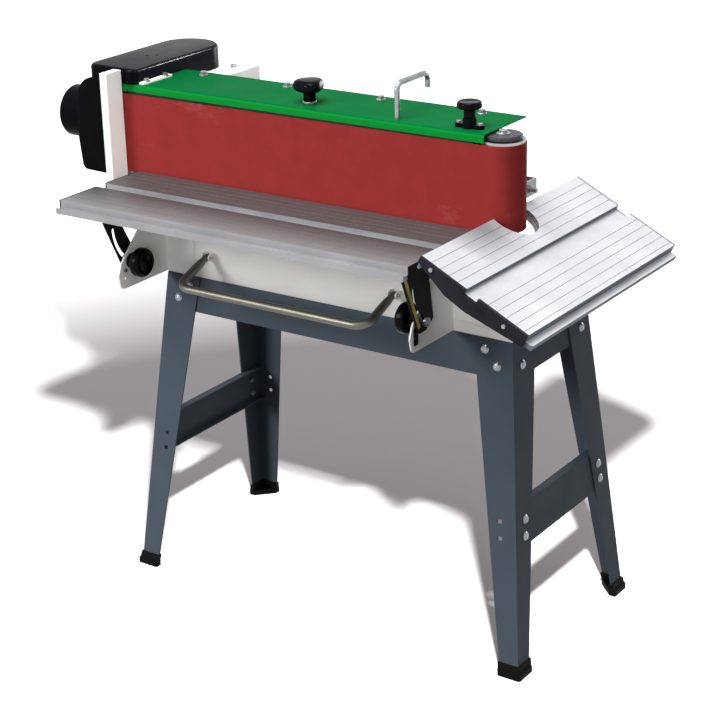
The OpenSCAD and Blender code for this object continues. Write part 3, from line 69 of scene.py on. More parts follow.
# Colours of the photograph's surfaces, as sRGB values
SLATE = (88, 99, 110)
CREAM = (230, 228, 224)
GREEN = (3, 102, 50)
# The green cover's upright lip, painted lighter as lit from the front
LIT_LIP_GREEN = (16, 142, 52)
BELT_RED = (149, 47, 46)
SCUFF_RED = (186, 108, 102)
GRIT_RED = (190, 100, 92)
TABLE_GREY = (160, 160, 163)
END_WHITE = (217, 218, 222)
# Painted shade for the end table's side faces, and the painted shadow of the belt on its top
END_SHADE = (112, 121, 131)
BELT_SHADOW_GREY = (96, 96, 103)
STEEL = (196, 197, 198)
NICKEL = (116, 113, 104)
NOTCH_RIM_LIT = (226, 226, 229)
BRIGHT = (168, 171, 174)
CHROME = (168, 171, 173)
BLACK = (15, 15, 17)
GLOSS_BLACK = (12, 12, 15)
KNOB_BLACK = (9, 9, 13)
CAP_GREY = (33, 32, 38)
FAR_CAP_LIT_GREY = (158, 158, 162)
DARK_STEEL = (52, 54, 58)
CAST_GREY = (72, 72, 80)
GRAPHITE = (52, 50, 52)
RUBBER = (20, 19, 19)
SCALE_YELLOW = (196, 182, 58)
MARK_BLACK = (22, 22, 20)
BUTTON_GREEN = (20, 140, 60)
BUTTON_RED = (190, 20, 20)
FLOOR_WHITE = (254, 250, 251)
FLOOR_BOUNCE = (48, 48, 48)
SKY_TINT = (255, 251, 252)

# White light, as linear RGBA
WHITE = (1, 1, 1, 1)

# Edges that are rounded in the shading alone (metres)
EDGE = 0.8 * MM
HOOD_EDGE = 2.5 * MM
EDGE_SAMPLES = 6

# Sockets of a Mix node that are in use for colours
MIX_FACTOR, MIX_A, MIX_B, MIX_RESULT = 0, 6, 7, 2

# How finishes vary: noises of (scale, detail) for tone and gloss, shades as shares of the colour, and the
# change of roughness from its least to its most
PAINTED = {"tone": (6, 3), "shades": (0.955, 1.035), "gloss": (14, 4), "change": (-0.05, 0.07)}
MOULDED = {"tone": (22, 4), "shades": (0.85, 1.25), "gloss": (35, 3), "change": (-0.06, 0.08)}
TURNED = {"tone": (40, 4), "shades": (0.86, 1.04), "gloss": (70, 3), "change": (-0.06, 0.1)}
DRAWN_TONE = (9, 3)
DRAWN_SHADES = (0.94, 1.03)
DRAWN_CHANGE = (-0.06, 0.09)
CAST_SHADES = (0.62, 1.12)
CAST_CHANGE = (-0.08, 0.1)
BELT_SHADES = (0.95, 1.04)

# Bump: scales and strengths of the grain, and heights in metres
PEEL_SCALE, PEEL = 520, 0.12
GRAIN_SCALE, GRAIN = 900, 0.25
SATIN_SCALE, SATIN = 700, 0.08
LINES, LINE_DEPTH, LINE_STRETCH = 900, 0.12, 0.01
PIT_SCALE, PITS = 420, 0.35
GRIT_SCALE, GRIT = 1500, 0.4
FINE_RELIEF = 0.0003
PAINT_RELIEF = 0.0004
GRIT_RELIEF = 0.0005

# Faces by the upward part of their direction: upright below the first value, facing up above the last
UPRIGHT, END_SIDE, FACING_UP = 0.3, 0.5, 0.8

# The far one of the end table's caps, painted lighter as lit, lies beyond these places along y (metres)
FAR_FROM, FAR_TO = 0.1, 0.11

# Main table: painted shade, as greys of its top from the belt to the front edge, and the depth at which its
# bright sides begin
TOP_SHADE_GREYS = [(0.0, 108), (0.42, 106), (0.54, 98), (0.68, 120), (0.8, 136), (0.9, 149), (1.0, 164)]
SIDES_FULL = 0.6 * MM
SIDES_FROM = 0.3 * MM

# End table: the place beside the belt's end where the belt's shadow is painted, how far that painted shadow
# reaches (metres) and how strongly
BELT_SHADOW_AT = (0.394, -0.085, 0.774)
BELT_SHADOW_NEAR, BELT_SHADOW_FAR = 0.01, 0.1
BELT_SHADOW_MOST = 0.68


def linear(rgb):
    """sRGB 0-255 to linear RGBA."""
    out = []
    for value in rgb:
        c = value / 255
        out.append(c / 12.92 if c <= 0.04045 else ((c + 0.055) / 1.055) ** 2.4)
    return (*out, 1.0)


def shade(rgb, factor):
    """An sRGB colour, darker or lighter."""
    return tuple(min(255, round(c * factor)) for c in rgb)


class Tree:
    """A node tree, with short calls to add and link nodes."""

    def __init__(self, tree):
        self.tree = tree

    def add(self, kind, **inputs):
        """A new node with values on its inputs; an underscore in a name stands for a space."""
        node = self.tree.nodes.new(kind)
        for key, value in inputs.items():
            node.inputs[key.replace("_", " ")].default_value = value
        return node

    def link(self, out, into):
        self.tree.links.new(out, into)

    def calc(self, operation, a, b):
        """A Math node over two sockets."""
        node = self.add("ShaderNodeMath")
        node.operation = operation
        self.link(a, node.inputs[0])
        self.link(b, node.inputs[1])
        return node.outputs[0]

    def white_rays(self, share=None):
        """1 for rays that show the background: camera rays, or a share, glossy and transmission rays."""
        rays = self.add("ShaderNodeLightPath").outputs
        out = rays["Is Camera Ray"]
        if share is not None:
            out = self.calc("MULTIPLY", share, out)
        for kind in ("Is Glossy Ray", "Is Transmission Ray"):
            out = self.calc("MAXIMUM", out, rays[kind])
        return out


class Look(Tree):
    """A material with one shader; its patterns are in object coordinates, so they ride with the piece."""

    def __init__(self, name, rgb, roughness, metallic=0.0, ior=1.45):
        self.material = bpy.data.materials.new(name)
        self.material.use_nodes = True
        super().__init__(self.material.node_tree)
        self.shader = self.tree.nodes["Principled BSDF"]
        self.shader.inputs["Base Color"].default_value = linear(rgb)
        self.shader.inputs["Roughness"].default_value = roughness
        self.shader.inputs["Metallic"].default_value = metallic
        self.shader.inputs["IOR"].default_value = ior
        self.coords = self.add("ShaderNodeTexCoord").outputs

    def noise(self, scale, detail=2.0, stretch=(1, 1, 1), roughness=0.5):
        """A noise, stretched along the axes."""
        node = self.add("ShaderNodeTexNoise", Scale=scale, Detail=detail, Roughness=roughness)
        mapping = self.add("ShaderNodeMapping", Scale=stretch)
        self.link(self.coords["Object"], mapping.inputs["Vector"])
        self.link(mapping.outputs["Vector"], node.inputs["Vector"])
        return node.outputs["Fac"]

    def part(self, kind, which):
        """One part of the object coordinates, or of the surface's direction in the object's frame."""
        node = self.add("ShaderNodeSeparateXYZ")
        self.link(self.coords[kind], node.inputs["Vector"])
        return node.outputs[which]

    def away(self, point):
        """Distance from a point in object coordinates."""
        node = self.add("ShaderNodeVectorMath")
        node.operation = "DISTANCE"
        self.link(self.coords["Object"], node.inputs[0])
        node.inputs[1].default_value = point
        return node.outputs["Value"]

    def stops(self, value, greys):
        """A grey along the input's 0 to 1, from pairs of place and sRGB grey."""
        node = self.add("ShaderNodeValToRGB")
        elements = node.color_ramp.elements
        while len(elements) < len(greys):
            elements.new(1.0)
        for element, (place, grey) in zip(elements, greys):
            element.position = place
            element.color = linear((grey, grey, grey))
        self.link(value, node.inputs["Fac"])
        return node.outputs["Color"]

    def ramp(self, value, low, high, low_at=0.3, high_at=0.7):
        """A number from low to high between two places of the input."""
        node = self.add("ShaderNodeMapRange", From_Min=low_at, From_Max=high_at, To_Min=low, To_Max=high)
        self.link(value, node.inputs["Value"])
        return node.outputs["Result"]

    def mix(self, factor, a, b):
        """A colour between two, each an sRGB colour or a socket."""
        node = self.add("ShaderNodeMix")
        node.data_type = "RGBA"
        for index, value in ((MIX_A, a), (MIX_B, b)):
            if isinstance(value, tuple):
                node.inputs[index].default_value = linear(value)
            else:
                self.link(value, node.inputs[index])
        self.link(factor, node.inputs[MIX_FACTOR])
        return node.outputs[MIX_RESULT]

    def tones(self, noise, rgb, shades, **places):
        """A colour that drifts with a noise between two shades, from low_at to high_at where given."""
        darkest, lightest = shades
        return self.mix(self.ramp(noise, 0, 1, **places), shade(rgb, darkest), shade(rgb, lightest))

    def bump(self, height, strength, distance, normal=None):
        """Normals of a relief, over other normals where given."""
        node = self.add("ShaderNodeBump", Strength=strength, Distance=distance)
        self.link(height, node.inputs["Height"])
        if normal is not None:
            self.link(normal, node.inputs["Normal"])
        return node.outputs["Normal"]

    def soft_edges(self, radius):
        """Normals rounded over the solid's edges."""
        node = self.add("ShaderNodeBevel", Radius=radius)
        node.samples = EDGE_SAMPLES
        return node.outputs["Normal"]

    def set(self, socket, value):
        self.link(value, self.shader.inputs[socket])

    def set_gloss(self, noise, roughness, change):
        """Roughness that drifts with a noise."""
        least, most = change
        self.set("Roughness", self.ramp(noise, roughness + least, roughness + most))

    def vary(self, rgb, roughness, tone, shades, gloss, change):
        """Set the gloss of a finish and return its drifting colour."""
        self.set_gloss(self.noise(*gloss), roughness, change)
        return self.tones(self.noise(*tone), rgb, shades)


def paint(name, rgb, roughness, ior=1.35, lit_upright=None):
    """Sprayed paint: a fine orange peel and, where given, a painted lighter tone on upright faces, as lit
    from the front.
    """
    m = Look(name, rgb, roughness, ior=ior)
    colour = m.vary(rgb, roughness, **PAINTED)
    if lit_upright is not None:
        colour = m.mix(m.ramp(m.part("Normal", "Z"), 1, 0, UPRIGHT, FACING_UP), colour, lit_upright)
    m.set("Base Color", colour)
    m.set("Normal", m.bump(m.noise(PEEL_SCALE), PEEL, PAINT_RELIEF, m.soft_edges(EDGE)))
    return m.material


def moulded(name, rgb, roughness, grain=GRAIN, grain_scale=GRAIN_SCALE, edge=EDGE, ior=1.35, far=None):
    """Moulded plastic or rubber with a fine grain and, where given, a painted lighter tone at the back, as
    lit.
    """
    m = Look(name, rgb, roughness, ior=ior)
    colour = m.vary(rgb, roughness, **MOULDED)
    if far is not None:
        colour = m.mix(m.ramp(m.part("Object", "Y"), 0, 1, FAR_FROM, FAR_TO), colour, far)
    m.set("Base Color", colour)
    m.set("Normal", m.bump(m.noise(grain_scale), grain, FINE_RELIEF, m.soft_edges(edge)))
    return m.material


def drawn_metal(name, rgb, roughness, along, metallic, lines=LINES, shade_painter=None):
    """Bare metal with fine lines along one axis (0, 1 or 2); a shade painter, where given, takes the look and
    the colour so far and lays painted shade on it.
    """
    stretch = [1.0, 1.0, 1.0]
    stretch[along] = LINE_STRETCH
    m = Look(name, rgb, roughness, metallic)
    streak = m.noise(lines, detail=3, stretch=tuple(stretch))
    colour = m.tones(m.noise(*DRAWN_TONE), rgb, DRAWN_SHADES)
    m.set("Base Color", shade_painter(m, colour) if shade_painter else colour)
    m.set_gloss(streak, roughness, DRAWN_CHANGE)
    m.set("Normal", m.bump(streak, LINE_DEPTH, FINE_RELIEF))
    return m.material


def main_table_painted_shade(m, bright):
    """Painted shade on the top, darkest near the belt and lighter to the front; grooves and edges below the
    top stay bright.
    """
    points = [v.co for v in nodes["main_table"].data.vertices]
    back, front = max(p.y for p in points), min(p.y for p in points)
    top = max(p.z for p in points)
    # Painted shade: the top darkens toward the belt
    top_shade = m.stops(m.ramp(m.part("Object", "Y"), 0, 1, back, front), TOP_SHADE_GREYS)
    below = m.ramp(m.part("Object", "Z"), 1, 0, top - SIDES_FULL, top - SIDES_FROM)
    return m.mix(below, top_shade, bright)


def end_table_painted_shade(m, bright):
    """Painted shade on the faces that drop away from the top, and a painted shadow of the belt on the top
    beside its end.
    """
    # Painted shadow of the belt, and painted shade on the faces that don't face up
    wear_and_shadow = m.ramp(m.away(BELT_SHADOW_AT), BELT_SHADOW_MOST, 0, BELT_SHADOW_NEAR, BELT_SHADOW_FAR)
    side_shade = m.ramp(m.part("Normal", "Z"), 1, 0, END_SIDE, FACING_UP)
    return m.mix(side_shade, m.mix(wear_and_shadow, bright, BELT_SHADOW_GREY), END_SHADE)


def turned_metal(name, rgb, roughness, metallic=1.0):
    """Bare metal with a soft, even finish."""
    m = Look(name, rgb, roughness, metallic)
    m.set("Base Color", m.vary(rgb, roughness, **TURNED))
    m.set("Normal", m.bump(m.noise(SATIN_SCALE), SATIN, FINE_RELIEF))
    return m.material


def cast_metal(name, rgb, roughness, metallic):
    """Cast metal: a speckled grey skin with fine pits."""
    m = Look(name, rgb, roughness, metallic)
    speckle = m.noise(PIT_SCALE, detail=3, roughness=0.7)
    m.set("Base Color", m.tones(speckle, rgb, CAST_SHADES, low_at=0.42, high_at=0.6))
    m.set_gloss(m.noise(scale=60, detail=3), roughness, CAST_CHANGE)
    m.set("Normal", m.bump(speckle, PITS, PAINT_RELIEF, m.soft_edges(EDGE)))
    return m.material


def abrasive(name, rgb, roughness, ior):
    """Coated abrasive cloth: grit, a faint mottle and a few pale scuffs along the run of the belt."""
    m = Look(name, rgb, roughness, ior=ior)
    mottle = m.noise(scale=30, detail=5, roughness=0.65)
    streaks = m.noise(scale=11, detail=8, stretch=(0.5, 1, 1.2), roughness=0.75)
    grit = m.noise(GRIT_SCALE)
    base = m.tones(mottle, rgb, BELT_SHADES, low_at=0.3, high_at=0.72)
    wear_and_shadow = m.mix(m.ramp(streaks, low=0, high=0.45, low_at=0.59, high_at=0.73), base, SCUFF_RED)
    m.set("Base Color", m.mix(m.ramp(grit, low=0, high=0.14, low_at=0.5, high_at=0.75), wear_and_shadow, GRIT_RED))
    m.set("Normal", m.bump(grit, GRIT, GRIT_RELIEF))
    return m.material


stand_paint = paint("stand_paint", SLATE, roughness=0.42, ior=1.15)
cream_paint = paint("cream_paint", CREAM, roughness=0.38, ior=1.25)
# The cover's upright lip is painted a lighter green, as lit from the front
green_paint = paint("green_paint", GREEN, roughness=0.36, ior=1.03, lit_upright=LIT_LIP_GREEN)
black_paint = paint("black_paint", BLACK, roughness=0.4, ior=1.15)
dark_steel = paint("dark_steel", DARK_STEEL, roughness=0.4)
hood_plastic = moulded("hood_plastic", GLOSS_BLACK, roughness=0.18, grain=0.06, grain_scale=300,
                       edge=HOOD_EDGE, ior=1.08)
knob_plastic = moulded("knob_plastic", KNOB_BLACK, roughness=0.16, grain=0.05, ior=1.14)
cap_plastic = moulded("cap_plastic", CAP_GREY, roughness=0.55, ior=1.2)
# The far end cap is painted pale grey as lit; the near one keeps the dark cap grey
table_caps = moulded("table_caps", CAP_GREY, roughness=0.55, ior=1.2, far=FAR_CAP_LIT_GREY)
rubber = moulded("rubber", RUBBER, roughness=0.6, grain=0.35, grain_scale=700, ior=1.15)
graphite = moulded("graphite", GRAPHITE, roughness=0.7, grain=0.5, grain_scale=1100, ior=1.2)
table_alloy = drawn_metal("table_alloy", TABLE_GREY, roughness=0.5, along=0, metallic=0.8,
                          shade_painter=main_table_painted_shade)
end_alloy = drawn_metal("end_alloy", END_WHITE, roughness=0.58, along=1, metallic=0.4, shade_painter=end_table_painted_shade)
rod_steel = drawn_metal("rod_steel", NICKEL, roughness=0.4, along=0, metallic=0.85, lines=500)
plated_steel = turned_metal("plated_steel", BRIGHT, roughness=0.26, metallic=0.6)
chrome = turned_metal("chrome", CHROME, roughness=0.22, metallic=0.7)
# Painted highlight: the notch rim is a pale, lit-looking copy of the end table's metal
lit_rim_metal = turned_metal("lit_rim_metal", NOTCH_RIM_LIT, roughness=0.4, metallic=0.25)
steel = turned_metal("steel", STEEL, roughness=0.32)
cast_grey = cast_metal("cast_grey", CAST_GREY, roughness=0.5, metallic=0.4)
belt_cloth = abrasive("belt_abrasive", BELT_RED, roughness=0.85, ior=1.2)
scale_foil = moulded("scale_yellow", SCALE_YELLOW, roughness=0.45)
mark_ink = moulded("mark_ink", MARK_BLACK, roughness=0.5)
button_green = moulded("button_green", BUTTON_GREEN, roughness=0.3)
button_red = moulded("button_red", BUTTON_RED, roughness=0.3)

LOOKS = {
    stand_paint: ("leg_front_left", "leg_front_right", "leg_rear_left", "leg_rear_right", "long_rails",
                  "end_rails", "end_braces"),
    cream_paint: ("base_box", "bracket_left", "bracket_right", "end_hinge_brackets", "head_frame",
                  "rear_panel", "cover_bar", "work_stop", "motor_tray"),
    green_paint: ("top_cover",),
    black_paint: ("main_end_caps", "table_arm_left", "table_arm_right", "scale_pointer"),
    dark_steel: ("end_hinge_plates", "motor_body", "drum_pulley"),
    cast_grey: ("idler_yoke",),
    hood_plastic: ("dust_hood", "pulley_cover"),
    knob_plastic: ("clamp_knob_left", "clamp_knob_right", "end_lock_knob", "cover_knob", "tracking_base",
                   "tracking_knob", "cable_gland"),
    cap_plastic: ("switch_box",),
    table_caps: ("end_table_caps",),
    rubber: ("rubber_feet", "v_belt"),
    graphite: ("platen",),
    table_alloy: ("main_table",),
    end_alloy: ("end_table",),
    rod_steel: ("front_bail",),
    plated_steel: ("stand_bolts", "hinge_pins", "table_screws", "end_table_screws", "cover_bolts",
                   "idler_shaft", "tracking_bracket"),
    chrome: ("tension_lever",),
    steel: ("motor_rotor", "drive_drum", "drum_bearings", "idler_drum", "idler_bearings", "tension_spring"),
    belt_cloth: ("sanding_belt",),
    scale_foil: ("angle_scale",),
    button_green: ("start_button",),
    button_red: ("stop_button",),
}
for material, names in LOOKS.items():
    for name in names:
        nodes[name].data.materials.clear()
        nodes[name].data.materials.append(material)


# Pieces: built in millimetres from the stand's middle, then set into the part's frame

# Points nearer than this are one point
MERGE = 0.001

# Edges that turn by more than this many degrees stay sharp, on plain, moulded and rounded pieces
PLAIN, MOULDING, ROUNDED = 38, 50, 60


def loft(bm, rings):
    """Skin rings of points one after another and close both ends; a ring of one point is a pole."""
    loops = [[bm.verts.new(p) for p in ring] for ring in rings]
    for a, b in zip(loops, loops[1:]):
        count = max(len(a), len(b))
        for i in range(count):
            j = (i + 1) % count
            corners = [a[i % len(a)], a[j % len(a)], b[j % len(b)], b[i % len(b)]]
            bm.faces.new(list(dict.fromkeys(corners)))
    for loop in (loops[0], loops[-1]):
        if len(loop) > 2:
            bm.faces.new(loop)


def skin(rings):
    """A bmesh of one loft."""
    bm = bmesh.new()
    loft(bm, rings)
    return bm


def turn(bm, centre, axis, profile, steps=72, wave=None):
    """Skin a profile of (radius, height) turned about an axis through a centre."""
    basis = Vector(axis).to_track_quat("Z", "X").to_matrix()
    rings = []
    for radius, height in profile:
        ring = []
        for i in range(steps if radius else 1):
            a = FULL_TURN * i / steps
            r = radius * (wave(a, radius) if wave else 1)
            ring.append(Vector(centre) + basis @ Vector((r * math.cos(a), r * math.sin(a), height)))
        rings.append(ring)
    loft(bm, rings)


def arc(r_at, z_at, radius, start, end, count=8):
    """Points of an arc in a profile, from one angle to another in degrees."""
    steps = [math.radians(start + (end - start) * i / count) for i in range(count + 1)]
    return [(r_at + radius * math.cos(a), z_at + radius * math.sin(a)) for a in steps]


def circle(centre, radius, first, second, count):
    """Points round a centre, in the plane of two directions."""
    angles = [FULL_TURN * k / count for k in range(count)]
    return [centre + radius * (math.cos(a) * first + math.sin(a) * second) for a in angles]


def finish_piece(name, bm, material, body, turned_by=None, sharp=PLAIN):
    """A piece from a bmesh, set into the part's frame and riding on a body."""
    bmesh.ops.remove_doubles(bm, verts=bm.verts, dist=MERGE)
    bmesh.ops.recalc_face_normals(bm, faces=bm.faces)
    if turned_by is not None:
        bm.transform(turned_by)
    bm.transform(Matrix.Scale(MM, 4) @ Matrix.Translation(MACHINE))
    mesh = bpy.data.meshes.new(name)
    bm.to_mesh(mesh)
    bm.free()
    mesh.shade_smooth()
    mesh.set_sharp_from_angle(angle=math.radians(sharp))
    mesh.materials.append(material)
    thing = bpy.data.objects.new(name, mesh)
    scene.collection.objects.link(thing)
    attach(thing, body)
    return thing


# Top of the green cover
COVER_Z = 918.0

# Pulley cover: a thin moulding with a rounded top edge, stepped over the green cover
PULLEY_X = -538.0
PULLEY_HALF = 62.0
PULLEY_NEAR = -61.5
PULLEY_FAR = 163.8
PULLEY_LOW = 900.0
PULLEY_STEP = 918.3
PULLEY_TOP = 945.0
PULLEY_WALL = 3.0
PULLEY_ROUND = 7.0
LEFT_CORNER = 25.0
RIGHT_CORNER = 8.0
LEAST_CORNER = 0.5
STEP_X = -512.0
STEP_Y = 85.0

# A round post in the cover's near face
POST_X = -490.0
POST_R = 7.0
POST_ROUND = 3.0
POST_LOW = COVER_Z + 1
POST_TOP = 943.0


def pulley_ring(inset, z=None):
    """One level of the pulley cover, or its lower edge where no height is given."""
    half = PULLEY_HALF - inset
    near = PULLEY_NEAR + inset
    left_r = LEFT_CORNER - inset
    right_r = max(RIGHT_CORNER - inset, LEAST_CORNER)
    x0, x1 = PULLEY_X - half, PULLEY_X + half
    low = [(x1, PULLEY_FAR, PULLEY_LOW), (x1, STEP_Y, PULLEY_LOW), (x1, STEP_Y, PULLEY_STEP)]
    for x, y in arc(x1 - right_r, near + right_r, right_r, 0, -90):
        low.append((x, y, PULLEY_STEP))
    low += [(STEP_X, near, PULLEY_STEP), (STEP_X, near, PULLEY_LOW)]
    for x, y in arc(x0 + left_r, near + left_r, left_r, -90, -180, count=12):
        low.append((x, y, PULLEY_LOW))
    for x, y in arc(PULLEY_X, PULLEY_FAR, half, 180, 0, count=48)[:-1]:
        low.append((x, y, PULLEY_LOW))
    return [Vector((x, y, edge if z is None else z)) for x, y, edge in low]


rings = [pulley_ring(PULLEY_WALL, PULLEY_TOP - PULLEY_WALL), pulley_ring(PULLEY_WALL), pulley_ring(0)]
for inset, rise in arc(PULLEY_ROUND, PULLEY_TOP - PULLEY_ROUND, PULLEY_ROUND, 180, 90, count=7):
    rings.append(pulley_ring(inset, rise))
bm = skin(rings)
turn(bm, (POST_X, PULLEY_NEAR, 0), UP,
     [(0, POST_LOW), (POST_R, POST_LOW), (POST_R, POST_TOP - POST_ROUND)]
     + arc(POST_R - POST_ROUND, POST_TOP - POST_ROUND, POST_ROUND, 0, 90) + [(0, POST_TOP)], steps=40)
pulley_shell = finish_piece("pulley_shell", bm, hood_plastic, "machine", sharp=MOULDING)
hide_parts("pulley_cover")

# Small screws of the pulley cover, and hexagon bolts on washers in the motor tray
SCREWS_AT = ((-542.4, 49.9), (-529.6, 63.7))
SCREW = [(0, -0.5), (3.6, -0.5), (3.6, 0.2)] + arc(2.6, 0.2, 1, 0, 90, 4) + [(1.7, 1.2), (1.5, 0.4), (0, 0.4)]
TRAY_BOLTS_AT = ((-455.4, 206.2), (-586, 206.2))
TRAY_TOP = 900
WASHER = [(0, -0.3), (8.5, -0.3), (8.5, 1.3), (8.1, 1.6), (0, 1.6)]
HEXAGON = [(0, 1.5), (6.2, 1.5), (6.2, 5.6), (5.5, 6.2), (0, 6.2)]
HEXAGON_SIDES = 6
bm = bmesh.new()
for x, y in SCREWS_AT:
    turn(bm, (x, y, PULLEY_TOP), UP, SCREW, steps=32)
finish_piece("pulley_screws", bm, dark_steel, "machine")
bm = bmesh.new()
for x, y in TRAY_BOLTS_AT:
    turn(bm, (x, y, TRAY_TOP), UP, WASHER, steps=40)
    turn(bm, (x, y, TRAY_TOP), UP, HEXAGON, steps=HEXAGON_SIDES)
finish_piece("tray_bolts", bm, steel, "machine")

# Knob of the cover: three soft lobes on a neck, above a plated collar
COVER_KNOB_AT = (-110, -20, COVER_Z)
COVER_KNOB = ([(0, 4.2), (11.2, 4.2), (11.2, 17)] + arc(15.2, 17, 4, 180, 90, 5) + [(19, 21.4)]
              + arc(18, 30, 8.5, -90, 0, 9) + arc(16.5, 33, 10, 0, 90, 10) + [(10, 43.6), (5, 43.9), (0, 44)])
COLLAR = [(0, 0.3), (12, 0.3), (12.6, 0.9), (12.6, 3.4), (12, 4.1), (0, 4.1)]
LOBES = 3
LOBE_DEPTH = 0.115
LOBE_TURN = math.radians(19.6)
NECK_R = 12
LOBE_RUN = 12


def lobed(angle, radius):
    """Share of a radius at an angle: round at the neck, lobed further out."""
    share = min(max((radius - NECK_R) / LOBE_RUN, 0), 1)
    return 1 + LOBE_DEPTH * share * math.cos(LOBES * (angle - LOBE_TURN))


bm = bmesh.new()
turn(bm, COVER_KNOB_AT, UP, COVER_KNOB, steps=96, wave=lobed)
cover_knob = finish_piece("cover_knob_lobed", bm, knob_plastic, "cover_knob", sharp=ROUNDED)
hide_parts("cover_knob")
bm = bmesh.new()
turn(bm, COVER_KNOB_AT, UP, COLLAR)
finish_piece("cover_knob_collar", bm, plated_steel, "cover_knob")

# Tracking knob: a dished disc with a rounded rim
TRACKING_AT = (226, -30, COVER_Z)
TRACKING_KNOB = ([(0, 18.4), (10, 18.4), (10, 30)] + arc(13, 30, 3, 180, 90, 5) + [(17, 33.4)]
                 + arc(17.3, 37.6, 4.2, -90, 0) + arc(17.3, 41.6, 4.2, 0, 90)
                 + [(15.4, 45.4), (13.5, 44.8), (0, 44.6)])
bm = bmesh.new()
turn(bm, TRACKING_AT, UP, TRACKING_KNOB)
tracking_knob = finish_piece("tracking_knob_disc", bm, knob_plastic, "tracking_knob",
                             sharp=ROUNDED)
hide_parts("tracking_knob")

# Clamp knobs of the main table: smooth mushrooms with a sunk middle
CLAMP_KNOB = ([(0, 0), (13.6, 0), (14, 0.6), (13.2, 2.4), (11.4, 4.2), (11, 6), (11, 12)]
              + arc(15, 12, 4, 180, 90, 5) + [(20, 16.2)] + arc(21.4, 21.8, 5.6, -90, 0)
              + arc(19, 28, 8, 0, 90, 9) + [(12.5, 36), (12, 35.3), (0, 35.1)])
for side, axis in (("left", 1), ("right", -1)):
    node = "clamp_knob_" + side
    low, high = (Vector(v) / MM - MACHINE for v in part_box(node))
    base = ((low if axis > 0 else high).x, (low.y + high.y) / 2, (low.z + high.z) / 2)
    bm = bmesh.new()
    turn(bm, base, (axis, 0, 0), CLAMP_KNOB)
    knob = finish_piece(node + "_disc", bm, knob_plastic, node, sharp=ROUNDED)
    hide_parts(node)

# Front bail: a bent tube, pinched to an eye at each pivot; one half is made, and the other mirrors it
BAIL_X = -264
BAIL_W = 405
BAIL_REACH = 92
BAIL_BEND = 26
BAIL_BEND_STEPS = 12
BAIL_SIDES = 28
BAIL_DROP = 20
BAIL_PIVOT = Vector((0, -143, 640))
BAIL_R = 7.6
BAIL_EYE = [(5.6, 1.5), (5.2, 3.2), (4.0, 4.9), (2.0, 5.8), (0, 6), (-9, 6), (-14, 6.5), (-20, 7.3),
            (-26, BAIL_R)]
half = [(Vector((BAIL_X, y, 0)), Vector((0, -1, 0)), r) for y, r in BAIL_EYE]
for i in range(BAIL_BEND_STEPS + 1):
    a = math.radians(90 * i / BAIL_BEND_STEPS)
    at = Vector((BAIL_X + BAIL_BEND * (1 - math.cos(a)), -BAIL_REACH + BAIL_BEND * (1 - math.sin(a)), 0))
    half.append((at, Vector((math.sin(a), -math.cos(a), 0)), BAIL_R))
rings = [circle(at, r, ahead.cross(UP), UP, BAIL_SIDES) for at, ahead, r in half]
middle = BAIL_X + BAIL_W / 2
rings += [[Vector((2 * middle - v.x, v.y, v.z)) for v in ring] for ring in reversed(rings)]
drop = Matrix.Translation(BAIL_PIVOT) @ Matrix.Rotation(math.radians(BAIL_DROP), 4, "X")
bail_tube = finish_piece("bail_tube", skin(rings), rod_steel, "bail", drop, ROUNDED)
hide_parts("front_bail")

# Degree marks on the yellow scale: every fourth one is long, and the one halfway between is of middle length
SCALE_TOP = Vector((-295, 728))
SCALE_FOOT = Vector((-251, 626))
SCALE_IN = 2.5
SCALE_W = 7.2
MARKS = 19
MARK_FROM = 12
MARK_STEP = 4.06
MARK_W = 0.55
MARK_REACHES = (5.6, 2.6, 3.8, 2.6)
MARK_SUNK = 0.05
MARK_PROUD = 0.12
scale_x = Vector(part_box("angle_scale")[1]).x / MM - MACHINE.x
along = (SCALE_FOOT - SCALE_TOP).normalized()
across = Vector((-along.y, along.x))
bm = bmesh.new()
for i in range(MARKS):
    reach = MARK_REACHES[i % len(MARK_REACHES)]
    at = SCALE_FOOT - (MARK_FROM + MARK_STEP * i) * along + (SCALE_IN + SCALE_W - reach) * across
    quad = [at, at + MARK_W * along, at + MARK_W * along + reach * across, at + reach * across]
    loft(bm, [[Vector((x, *p)) for p in quad] for x in (scale_x - MARK_SUNK, scale_x + MARK_PROUD)])
finish_piece("scale_marks", bm, mark_ink, "table")

# Rim of the end table's notch: a plain edge band below the top, painted pale as a painted highlight on the
# notch's edge
END_TILT = 26.6
END_PIVOT = Vector((336, 0, 718))
NOTCH_R = 46.8
NOTCH_AT = Vector((285, -19.2, 0))
NOTCH_LEFT = 273
RIM_TOP = 751.5
RIM_LOW = 735
RIM_T = 2.2
RIM_STEPS = 48
RIM = ((NOTCH_R, RIM_LOW), (NOTCH_R + RIM_T, RIM_LOW), (NOTCH_R + RIM_T, RIM_TOP), (NOTCH_R, RIM_TOP))
tilt = (Matrix.Translation(END_PIVOT) @ Matrix.Rotation(math.radians(END_TILT), 4, "Y")
        @ Matrix.Translation(-END_PIVOT))
half_turn = math.acos((NOTCH_LEFT - NOTCH_AT.x) / NOTCH_R)
rings = []
for i in range(RIM_STEPS + 1):
    a = half_turn * (2 * i / RIM_STEPS - 1)
    ray = Vector((math.cos(a), math.sin(a), 0))
    rings.append([NOTCH_AT + r * ray + z * UP for r, z in RIM])
finish_piece("notch_rim", skin(rings), lit_rim_metal, "end_table", tilt)

